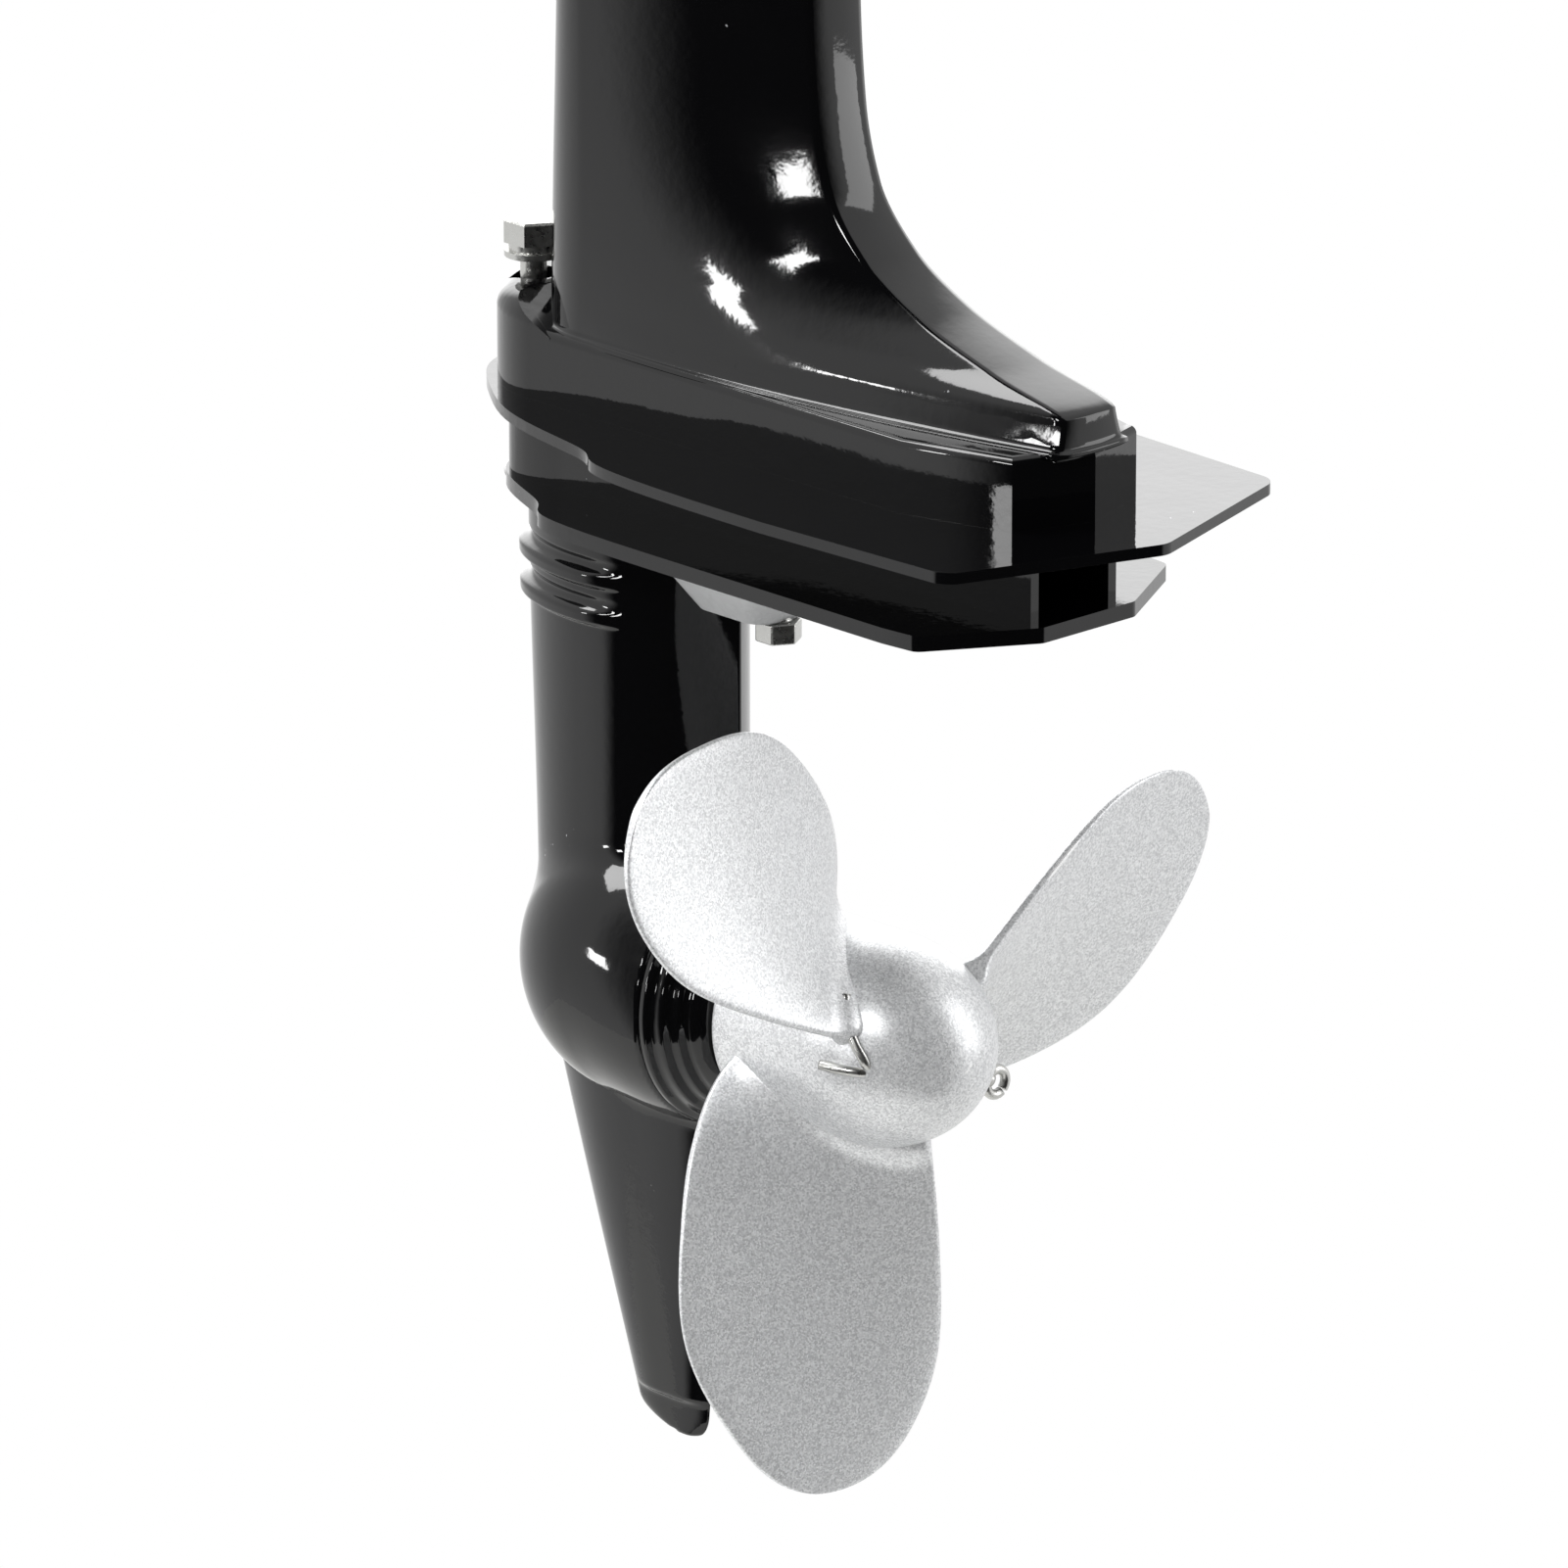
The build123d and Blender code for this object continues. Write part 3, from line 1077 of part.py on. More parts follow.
FILLER_U = 90.0
FILLER_R = 12.0
CAP_R = 21.0
CAP_SEAT = 319.0
STARTER_Y = 30.0
STARTER_Z = 187.0
with BuildPart() as top_cowl:
    loft(shell_sections(COWL_SECTIONS))
    with BuildSketch(level(COWL_TOP - 30)) as filler_boss:
        with Locations((FILLER_U, 0)):
            Circle(CAP_R + 4)
    extrude(filler_boss.sketch, amount=CAP_SEAT - 0.5 - COWL_TOP + 30)
    loft(shell_sections(COWL_SECTIONS, COWL_WALL, -0.01), mode=Mode.SUBTRACT)
    with BuildSketch(level(COWL_TOP - 60)) as filler_hole:
        with Locations((FILLER_U, 0)):
            Circle(FILLER_R + 1)
    extrude(filler_hole.sketch, amount=80, mode=Mode.SUBTRACT)
    rod(Plane(origin=(DRIVE_X - 130, STARTER_Y, STARTER_Z), z_dir=(1, 0, 0)), 5.5, 60, mode=Mode.SUBTRACT)
top_cowl.part.label = "top_cowl"
export_step(top_cowl.part, "parts/top_cowl.step")

# Cylinder block with its crankcase, the bore lying fore and aft
CRANK_Z = 100.0
THROW = 15.0
ROD_LENGTH = 60.0
CYLINDER_R = 22.05
PISTON_R = 22.0
WRIST_U = THROW + ROD_LENGTH
CASE_R = 38.0
CHAMBER_R = 33.4
CASE_FOOT = PAN_Z + 4.2
CASE_TOP = 118.0
COVER_TOP = 126.0
BLOCK_END = 91.0
JACKET_HALF = 28.0
JOURNAL_R = 8.0
WEB_R = 26.0
WEB_THICK = 9.0
BIG_END_HALF = 4.7
WEB_GAP = 5.0
with BuildPart() as cylinder_block:
    rod(level(CASE_FOOT), CASE_R, CASE_TOP - CASE_FOOT)
    with BuildSketch(Plane(origin=(DRIVE_X, 0, CRANK_Z), x_dir=(0, 1, 0), z_dir=(1, 0, 0))) as jacket:
        RectangleRounded(2 * JACKET_HALF, 2 * JACKET_HALF, 9)
    extrude(jacket.sketch, amount=BLOCK_END)
    with BuildSketch(level(CRANK_Z + JACKET_HALF - 2)) as tank_posts:
        with Locations((80, 18), (80, -18)):
            Circle(5)
    extrude(tank_posts.sketch, amount=8.8)
    rod(level(CRANK_Z - WEB_GAP - WEB_THICK - 1.5), CHAMBER_R, 40, mode=Mode.SUBTRACT)
    with BuildSketch(level(CASE_TOP)) as cover_room:
        Circle(CASE_R + 0.6)
    extrude(cover_room.sketch, amount=20, mode=Mode.SUBTRACT)
    rod(
        Plane(origin=(DRIVE_X, 0, CRANK_Z), z_dir=(1, 0, 0)),
        CYLINDER_R,
        BLOCK_END + 1,
        mode=Mode.SUBTRACT,
    )
    rod(level(CASE_FOOT - 1), JOURNAL_R + RUN_FIT, 60, mode=Mode.SUBTRACT)
cylinder_block.part.label = "cylinder_block"
export_step(cylinder_block.part, "parts/cylinder_block.step")

# Crankcase cover with the three posts that carry the recoil starter
POST_R = 66.0
POST_WIDE = 5.0
POST_TOP = 172.0
with BuildPart() as crankcase_cover:
    with BuildSketch(level(CASE_TOP + 0.1)) as cover_plan:
        Circle(CASE_R)
        with PolarLocations(POST_R / 2 + 6, 3, start_angle=60):
            Rectangle(POST_R - 8, 14)
        with PolarLocations(POST_R, 3, start_angle=60):
            Circle(7)
    extrude(cover_plan.sketch, amount=COVER_TOP - CASE_TOP - 0.1)
    with BuildSketch(level(COVER_TOP - 0.5)) as posts:
        with PolarLocations(POST_R, 3, start_angle=60):
            Circle(POST_WIDE)
    extrude(posts.sketch, amount=POST_TOP - COVER_TOP + 0.5)
    rod(level(CASE_TOP - 1), JOURNAL_R + RUN_FIT, 20, mode=Mode.SUBTRACT)
    rod(
        Plane(origin=(DRIVE_X + WRIST_U - 2 * THROW - 16, 0, CRANK_Z), z_dir=(1, 0, 0)),
        CYLINDER_R + SEAT_GAP,
        60,
        mode=Mode.SUBTRACT,
    )
crankcase_cover.part.label = "crankcase_cover"
export_step(crankcase_cover.part, "parts/crankcase_cover.step")

with BuildPart() as cylinder_head:
    with BuildSketch(Plane(origin=(DRIVE_X + BLOCK_END + 0.2, 0, CRANK_Z), x_dir=(0, 1, 0), z_dir=(1, 0, 0))) as head_face:
        RectangleRounded(2 * JACKET_HALF, 2 * JACKET_HALF, 9)
    extrude(head_face.sketch, amount=15)
    fillet(cylinder_head.faces().sort_by(Axis.X)[-1].edges(), radius=4)
    rod(Plane(origin=(DRIVE_X + BLOCK_END - 1, 0, CRANK_Z), z_dir=(1, 0, 0)), 5.0 + PRESS_GAP, 40, mode=Mode.SUBTRACT)
cylinder_head.part.label = "cylinder_head"
export_step(cylinder_head.part, "parts/cylinder_head.step")

with BuildPart() as spark_plug:
    rod(Plane(origin=(DRIVE_X + BLOCK_END + 3, 0, CRANK_Z), z_dir=(1, 0, 0)), 5.0, 16)
    with BuildSketch(Plane(origin=(DRIVE_X + BLOCK_END + 15.3, 0, CRANK_Z), z_dir=(1, 0, 0))) as plug_hex:
        RegularPolygon(8, 6)
    extrude(plug_hex.sketch, amount=7)
    rod(Plane(origin=(DRIVE_X + BLOCK_END + 22, 0, CRANK_Z), z_dir=(1, 0, 0)), 5.2, 14)
    rod(Plane(origin=(DRIVE_X + BLOCK_END + 35, 0, CRANK_Z), z_dir=(1, 0, 0)), 2.5, 6)
spark_plug.part.label = "spark_plug"
export_step(spark_plug.part, "parts/spark_plug.step")

# Crankshaft: two full discs with a journal above and one below that takes the drive shaft
CRANK_TOP = 171.0
with BuildPart() as crankshaft:
    rod(level(PAN_Z + 6), JOURNAL_R, CRANK_Z - WEB_GAP - PAN_Z - 6)
    rod(level(CRANK_Z - WEB_GAP - WEB_THICK), WEB_R, WEB_THICK)
    rod(level(CRANK_Z + WEB_GAP), WEB_R, WEB_THICK)
    rod(level(CRANK_Z + WEB_GAP), JOURNAL_R, CRANK_TOP - CRANK_Z - WEB_GAP)
    rod(level(PAN_Z), DRIVE_R + PRESS_GAP, CRANK_COUPLING_Z + 0.5 - PAN_Z, mode=Mode.SUBTRACT)
crankshaft.part.label = "crankshaft"
export_step(crankshaft.part, "parts/crankshaft.step")

with BuildPart() as connecting_rod:
    with BuildSketch(level(CRANK_Z - BIG_END_HALF)) as rod_plan:
        with Locations((THROW, 0)):
            Circle(9.8)
        with Locations((WRIST_U, 0)):
            Circle(8.0)
        with Locations(((THROW + WRIST_U) / 2, 0)):
            Rectangle(ROD_LENGTH - 10, 8)
        with Locations((THROW, 0)):
            Circle(5.0 + PRESS_GAP, mode=Mode.SUBTRACT)
        with Locations((WRIST_U, 0)):
            Circle(4.5 + RUN_FIT, mode=Mode.SUBTRACT)
    extrude(rod_plan.sketch, amount=2 * BIG_END_HALF)
connecting_rod.part.label = "connecting_rod"
export_step(connecting_rod.part, "parts/connecting_rod.step")
with BuildPart() as crank_pin:
    rod(Plane(origin=(DRIVE_X + THROW, 0, CRANK_Z - BIG_END_HALF)), 5.0, 2 * BIG_END_HALF)
crank_pin.part.label = "crank_pin"
export_step(crank_pin.part, "parts/crank_pin.step")

with BuildPart() as piston:
    rod(Plane(origin=(DRIVE_X + WRIST_U - 13, 0, CRANK_Z), z_dir=(1, 0, 0)), PISTON_R, 27)
    rod(Plane(origin=(DRIVE_X + WRIST_U - 14, 0, CRANK_Z), z_dir=(1, 0, 0)), PISTON_R - 3, 24.5, mode=Mode.SUBTRACT)
    with BuildSketch(level(CRANK_Z - PISTON_R + 2.5)) as pin_bosses:
        with Locations((WRIST_U, 0)):
            Circle(7)
    extrude(pin_bosses.sketch, amount=2 * PISTON_R - 5)
    with BuildSketch(level(CRANK_Z - BIG_END_HALF - 0.6)) as rod_room:
        with Locations((WRIST_U - 4, 0)):
            Rectangle(26, 30)
    extrude(rod_room.sketch, amount=2 * BIG_END_HALF + 1.2, mode=Mode.SUBTRACT)
    rod(Plane(origin=(DRIVE_X + WRIST_U, 0, CRANK_Z - 30)), 4.5 + PRESS_GAP, 60, mode=Mode.SUBTRACT)
    for groove in (7.0, 10.0):
        with BuildSketch(Plane(origin=(DRIVE_X + WRIST_U + groove, 0, CRANK_Z), z_dir=(1, 0, 0))) as ring_groove:
            Circle(PISTON_R + 1)
            Circle(PISTON_R - 1.4, mode=Mode.SUBTRACT)
        extrude(ring_groove.sketch, amount=1.3, mode=Mode.SUBTRACT)
piston.part.label = "piston"
export_step(piston.part, "parts/piston.step")
with BuildPart() as wrist_pin:
    rod(Plane(origin=(DRIVE_X + WRIST_U, 0, CRANK_Z - PISTON_R + 2)), 4.5, 2 * PISTON_R - 4)
wrist_pin.part.label = "wrist_pin"
export_step(wrist_pin.part, "parts/wrist_pin.step")

# Flywheel with its cooling vanes, and the cup that the starter's pawls grip
FLYWHEEL_Z = 134.0
FLYWHEEL_R = 58.0
FLYWHEEL_THICK = 20.0
with BuildPart() as flywheel:
    rod(level(FLYWHEEL_Z), FLYWHEEL_R, FLYWHEEL_THICK)
    rod(level(FLYWHEEL_Z + 6), FLYWHEEL_R - 6, FLYWHEEL_THICK, mode=Mode.SUBTRACT)
    rod(level(FLYWHEEL_Z), 16, FLYWHEEL_THICK - 2)
    with BuildSketch(level(FLYWHEEL_Z + 5)) as vane_plan:
        with PolarLocations(36, 8):
            Rectangle(34, 3)
    extrude(vane_plan.sketch, amount=11)
    rod(level(FLYWHEEL_Z - 1), JOURNAL_R + PRESS_GAP, 40, mode=Mode.SUBTRACT)
flywheel.part.label = "flywheel"
export_step(flywheel.part, "parts/flywheel.step")
with BuildPart() as starter_cup:
    rod(level(FLYWHEEL_Z + FLYWHEEL_THICK - 2 + 0.05), 28, 14)
    rod(level(FLYWHEEL_Z + FLYWHEEL_THICK + 1), 25, 14, mode=Mode.SUBTRACT)
    rod(level(FLYWHEEL_Z), JOURNAL_R + PRESS_GAP, 40, mode=Mode.SUBTRACT)
starter_cup.part.label = "starter_cup"
export_step(starter_cup.part, "parts/starter_cup.step")

# Recoil starter: housing on the posts and its rope pulley
PULLEY_R = 30.0
RECOIL_FOOT = POST_TOP + 0.1
RECOIL_TOP = 197.0
with BuildPart() as recoil_housing:
    with BuildSketch(level(RECOIL_FOOT)) as recoil_plan:
        Circle(44)
        with PolarLocations(POST_R / 2 + 6, 3, start_angle=60):
            Rectangle(POST_R - 8, 16)
        with PolarLocations(POST_R, 3, start_angle=60):
            Circle(8)
    extrude(recoil_plan.sketch, amount=3)
    rod(level(RECOIL_FOOT), 40, RECOIL_TOP - RECOIL_FOOT)
    fillet(recoil_housing.faces().sort_by(Axis.Z)[-1].edges(), radius=3)
    rod(level(RECOIL_FOOT - 1), 35, RECOIL_TOP - RECOIL_FOOT - 2, mode=Mode.SUBTRACT)
    rod(level(RECOIL_FOOT), 6, RECOIL_TOP - RECOIL_FOOT - 1)
    with BuildSketch(Plane(origin=(DRIVE_X - 50, STARTER_Y, STARTER_Z), z_dir=(1, 0, 0))) as rope_hole:
        RectangleRounded(8, 8, 2)
    extrude(rope_hole.sketch, amount=40, mode=Mode.SUBTRACT)
recoil_housing.part.label = "recoil_housing"
export_step(recoil_housing.part, "parts/recoil_housing.step")
with BuildPart() as starter_pulley:
    turn(
        [
            (6 + RUN_FIT, 180.0),
            (33.0, 180.0),
            (33.0, 182.0),
            (PULLEY_R - 3, 185.0),
            (PULLEY_R - 3, 189.0),
            (33.0, 192.0),
            (33.0, 193.6),
            (6 + RUN_FIT, 193.6),
        ],
        DRIVE_AXIS,
        plane=HEAD,
    )
starter_pulley.part.label = "starter_pulley"
export_step(starter_pulley.part, "parts/starter_pulley.step")
COWL_FRONT_U = COWL_MID_U - 123.0
with BuildPart() as starter_handle:
    grip_u = COWL_FRONT_U - 13
    with BuildSketch(Plane(origin=(DRIVE_X + grip_u, STARTER_Y, STARTER_Z - 28))) as grip_section:
        Ellipse(9, 6.5)
    extrude(grip_section.sketch, amount=56)
    fillet(starter_handle.edges().filter_by(Axis.Z, reverse=True), radius=3)
    rod(Plane(origin=(DRIVE_X + grip_u, STARTER_Y, STARTER_Z), z_dir=(1, 0, 0)), 5.0, 18)
starter_handle.part.label = "starter_handle"
export_step(starter_handle.part, "parts/starter_handle.step")

# Carburettor and intake silencer in front of the crankcase
with BuildPart() as carburettor:
    carb_plane = Plane(origin=(DRIVE_X - CASE_R - 28, 0, CRANK_Z), z_dir=(1, 0, 0))
    rod(carb_plane, 12, 28.5)
    with BuildSketch(level(CRANK_Z - 30)) as bowl:
        with Locations((-CASE_R - 14, 0)):
            Circle(12)
    extrude(bowl.sketch, amount=34)
    with BuildSketch(Plane(origin=(DRIVE_X - CASE_R - 4, 0, CRANK_Z), x_dir=(0, 1, 0), z_dir=(1, 0, 0))) as carb_flange:
        RectangleRounded(44, 26, 6)
    extrude(carb_flange.sketch, amount=5)
    rod(level(CASE_FOOT), CASE_R + 0.15, 80, mode=Mode.SUBTRACT)
    rod(carb_plane.offset(-1), 7, 60, mode=Mode.SUBTRACT)
carburettor.part.label = "carburettor"
export_step(carburettor.part, "parts/carburettor.step")
with BuildPart() as intake_silencer:
    with BuildSketch(level(CRANK_Z - 18)) as silencer_plan:
        with Locations((-CASE_R - 28.2 - 8, 0)):
            RectangleRounded(16, 60, 5)
    extrude(silencer_plan.sketch, amount=36)
intake_silencer.part.label = "intake_silencer"
export_step(intake_silencer.part, "parts/intake_silencer.step")

# Ignition coil on a foot at the flywheel's starboard rim
with BuildPart() as ignition_coil:
    with BuildSketch(level(FLYWHEEL_Z + 2)) as coil_plan:
        with Locations((-8, FLYWHEEL_R + 12)):
            RectangleRounded(34, 18, 3)
        Circle(FLYWHEEL_R + 0.6, mode=Mode.SUBTRACT)
    extrude(coil_plan.sketch, amount=16)
    with BuildSketch(level(COVER_TOP + 0.1)) as coil_foot:
        with Locations((-8, 50)):
            Rectangle(14, 50)
    extrude(coil_foot.sketch, amount=3)
    with BuildSketch(level(COVER_TOP + 0.1)) as coil_post:
        with Locations((-8, FLYWHEEL_R + 12)):
            Rectangle(14, 14)
    extrude(coil_post.sketch, amount=FLYWHEEL_Z + 3 - COVER_TOP)
ignition_coil.part.label = "ignition_coil"
export_step(ignition_coil.part, "parts/ignition_coil.step")

# Fuel tank over the cylinder, with its filler neck, cap and shut-off tap
TANK_FOOT = CRANK_Z + JACKET_HALF + 7.0
TANK_TOP = 222.0
with BuildPart() as fuel_tank:
    with BuildSketch(level(TANK_FOOT)) as tank_plan:
        with Locations((108, 0)):
            RectangleRounded(60, 108, 22)
    extrude(tank_plan.sketch, amount=TANK_TOP - TANK_FOOT)
    fillet(fuel_tank.faces().sort_by(Axis.Z)[-1].edges(), radius=8)
    with BuildSketch(level(TANK_TOP - 4)) as neck:
        with Locations((FILLER_U, 0)):
            Circle(FILLER_R)
    extrude(neck.sketch, amount=CAP_SEAT + 6 - TANK_TOP + 4)
fuel_tank.part.label = "fuel_tank"
export_step(fuel_tank.part, "parts/fuel_tank.step")
with BuildPart() as fuel_cap:
    with BuildSketch(level(CAP_SEAT)) as cap_plan:
        with Locations((FILLER_U, 0)):
            Circle(CAP_R)
            with PolarLocations(CAP_R, 12):
                Circle(1.8)
    extrude(cap_plan.sketch, amount=14)
    fillet(fuel_cap.faces().sort_by(Axis.Z)[-1].edges(), radius=1.0)
    with BuildSketch(level(CAP_SEAT - 1)) as cap_room:
        with Locations((FILLER_U, 0)):
            Circle(FILLER_R + RUN_FIT)
    extrude(cap_room.sketch, amount=8, mode=Mode.SUBTRACT)
fuel_cap.part.label = "fuel_cap"
export_step(fuel_cap.part, "parts/fuel_cap.step")

# Choke knob and stop button in the pan's front
PAN_FRONT_U = COWL_MID_U - 120.2
with BuildPart() as choke_knob:
    choke_plane = Plane(origin=(DRIVE_X + PAN_FRONT_U - 16, -CONTROL_Y, CONTROL_Z), z_dir=(1, 0, 0))
    rod(choke_plane, 9, 9)
    fillet(choke_knob.edges(), radius=1.5)
    rod(choke_plane.offset(8), 4.0, 36)
choke_knob.part.label = "choke_knob"
export_step(choke_knob.part, "parts/choke_knob.step")
with BuildPart() as stop_button:
    stop_plane = Plane(origin=(DRIVE_X + PAN_FRONT_U - 8, CONTROL_Y, CONTROL_Z), z_dir=(1, 0, 0))
    rod(stop_plane, 4.0, 24)
    chamfer(stop_button.faces().sort_by(Axis.X)[0].edges(), length=0.8)
stop_button.part.label = "stop_button"
export_step(stop_button.part, "parts/stop_button.step")

# Tiller arm on its pivot bolt, and the twist grip on its end
ARM_R = 10.0
GRIP_R = 16.0
GRIP_U = -330.0
GRIP_LONG = 112.0
TILLER_PLANE = Plane(origin=(DRIVE_X + TILLER_PIVOT_U, 0, TILLER_PIVOT_Z), z_dir=(-1, 0, 0))
ARM_LONG = TILLER_PIVOT_U - GRIP_U
with BuildPart() as tiller_arm:
    with BuildSketch(HEAD.offset(-TILLER_HALF)) as arm_eye:
        with Locations((TILLER_PIVOT_U, TILLER_PIVOT_Z)):
            Circle(EAR_R - 1)
    extrude(arm_eye.sketch, amount=2 * TILLER_HALF)
    rod(TILLER_PLANE, ARM_R, ARM_LONG)
    rod(TILLER_PLANE.offset(ARM_LONG - 1), 8.0, GRIP_LONG - 6)
    rod(
        Plane(origin=(DRIVE_X + TILLER_PIVOT_U, -60, TILLER_PIVOT_Z), z_dir=(0, 1, 0)),
        TILLER_BOLT_R + RUN_FIT,
        120,
        mode=Mode.SUBTRACT,
    )
tiller_arm.part.label = "tiller_arm"
export_step(tiller_arm.part, "parts/tiller_arm.step")
with BuildPart() as throttle_grip:
    with BuildSketch(TILLER_PLANE.offset(ARM_LONG + SEAT_GAP)) as grip_plan:
        Circle(GRIP_R)
        with PolarLocations(GRIP_R + 0.2, 12):
            Circle(1.6, mode=Mode.SUBTRACT)
    extrude(grip_plan.sketch, amount=GRIP_LONG)
    fillet(throttle_grip.faces().sort_by(Axis.X)[0].edges(), radius=1.0)
    rod(TILLER_PLANE.offset(ARM_LONG - 1), 8.0 + RUN_FIT, GRIP_LONG - 3, mode=Mode.SUBTRACT)
throttle_grip.part.label = "throttle_grip"
export_step(throttle_grip.part, "parts/throttle_grip.step")
EAR_END = TILLER_HALF + SEAT_GAP + EAR_THICK
with BuildPart() as tiller_bolt:
    rod(
        Plane(origin=(DRIVE_X + TILLER_PIVOT_U, -EAR_END - 0.1, TILLER_PIVOT_Z), z_dir=(0, 1, 0)),
        TILLER_BOLT_R,
        2 * EAR_END + 8,
    )
    with BuildSketch(Plane(origin=(DRIVE_X + TILLER_PIVOT_U, -EAR_END - 0.1, TILLER_PIVOT_Z), z_dir=(0, -1, 0))) as tiller_head:
        RegularPolygon(7, 6)
    extrude(tiller_head.sketch, amount=5)
tiller_bolt.part.label = "tiller_bolt"
export_step(tiller_bolt.part, "parts/tiller_bolt.step")

# Carrying handle at the back of the pan
HANDLE_PLATE_Z = 78.0
with BuildPart() as carry_handle:
    with BuildSketch(level(HANDLE_PLATE_Z)) as carry_plan:
        with Locations((COWL_MID_U + 119 + 18, 0)):
            RectangleRounded(42, 108, 14)
            RectangleRounded(22, 84, 8, mode=Mode.SUBTRACT)
    extrude(carry_plan.sketch, amount=14)
    fillet(carry_handle.faces().sort_by(Axis.Z)[-1].edges(), radius=2.5)
    fillet(carry_handle.faces().sort_by(Axis.Z)[0].edges(), radius=2.5)
    loft(shell_sections(PAN_SECTIONS[1:], -SEAT_GAP), mode=Mode.SUBTRACT)
carry_handle.part.label = "carry_handle"
export_step(carry_handle.part, "parts/carry_handle.step")
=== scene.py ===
import json

import bmesh
import bpy
import numpy as np
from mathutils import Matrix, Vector

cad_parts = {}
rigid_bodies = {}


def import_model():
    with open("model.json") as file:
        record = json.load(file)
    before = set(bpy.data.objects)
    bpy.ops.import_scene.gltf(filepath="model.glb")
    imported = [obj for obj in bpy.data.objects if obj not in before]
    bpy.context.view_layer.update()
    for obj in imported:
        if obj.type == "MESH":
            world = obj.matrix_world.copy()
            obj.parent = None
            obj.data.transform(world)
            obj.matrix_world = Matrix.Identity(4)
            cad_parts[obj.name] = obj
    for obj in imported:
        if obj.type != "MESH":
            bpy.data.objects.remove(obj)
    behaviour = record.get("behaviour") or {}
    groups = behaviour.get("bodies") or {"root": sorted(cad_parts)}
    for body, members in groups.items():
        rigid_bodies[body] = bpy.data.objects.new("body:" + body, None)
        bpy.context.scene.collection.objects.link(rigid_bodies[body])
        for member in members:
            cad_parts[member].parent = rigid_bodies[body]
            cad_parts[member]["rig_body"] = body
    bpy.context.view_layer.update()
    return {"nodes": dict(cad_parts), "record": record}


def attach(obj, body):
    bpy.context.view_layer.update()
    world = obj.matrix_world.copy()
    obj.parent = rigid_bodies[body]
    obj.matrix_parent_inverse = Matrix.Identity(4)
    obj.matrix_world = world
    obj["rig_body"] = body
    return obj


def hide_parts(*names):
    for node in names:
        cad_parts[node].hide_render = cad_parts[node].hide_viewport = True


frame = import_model()

# Camera, backdrop and lamps
# A close view of the lower leg from astern on the port side, slightly from above. The motor hangs
# in a white studio with a bright sheet behind it and a dark flag on the camera's side.
VIEW_AZIMUTH = np.radians(46.61)
VIEW_HEIGHT = np.radians(18.33)
VIEW_TARGET = Vector((0.155, -0.0194, -0.4965))
VIEW_DISTANCE = 2.5
to_camera = Vector(
    (
        np.sin(VIEW_AZIMUTH) * np.cos(VIEW_HEIGHT),
        -np.cos(VIEW_AZIMUTH) * np.cos(VIEW_HEIGHT),
        np.sin(VIEW_HEIGHT),
    )
)
camera = bpy.data.objects.new("camera", bpy.data.cameras.new("camera"))
bpy.context.scene.collection.objects.link(camera)
camera.location = VIEW_TARGET + VIEW_DISTANCE * to_camera
camera.rotation_euler = to_camera.to_track_quat("Z", "Y").to_euler()
camera.data.lens = 306.9
camera.data.sensor_width = 36.0
camera.data.clip_start = 0.05
camera.data.clip_end = 60.0
bpy.context.scene.camera = camera
bpy.context.scene.view_settings.view_transform = "Standard"


def linear(colour):
    """sRGB hex to linear: c / 12.92 up to 0.04045, ((c + 0.055) / 1.055) ** 2.4 above it."""
    parts = np.array([int(colour[i : i + 2], 16) for i in (1, 3, 5)]) / 255.0
    parts = np.where(parts <= 0.04045, parts / 12.92, ((parts + 0.055) / 1.055) ** 2.4)
    return (*parts.tolist(), 1.0)


def add(tree, kind, sockets=None, **settings):
    """Adds a shader node, sets its settings, and fills or links its sockets."""
    made = tree.nodes.new("ShaderNode" + kind)
    for name, value in settings.items():
        setattr(made, name, value)
    for key, value in (sockets or {}).items():
        if isinstance(value, bpy.types.NodeSocket):
            tree.links.new(value, made.inputs[key])
        else:
            made.inputs[key].default_value = value
    return made


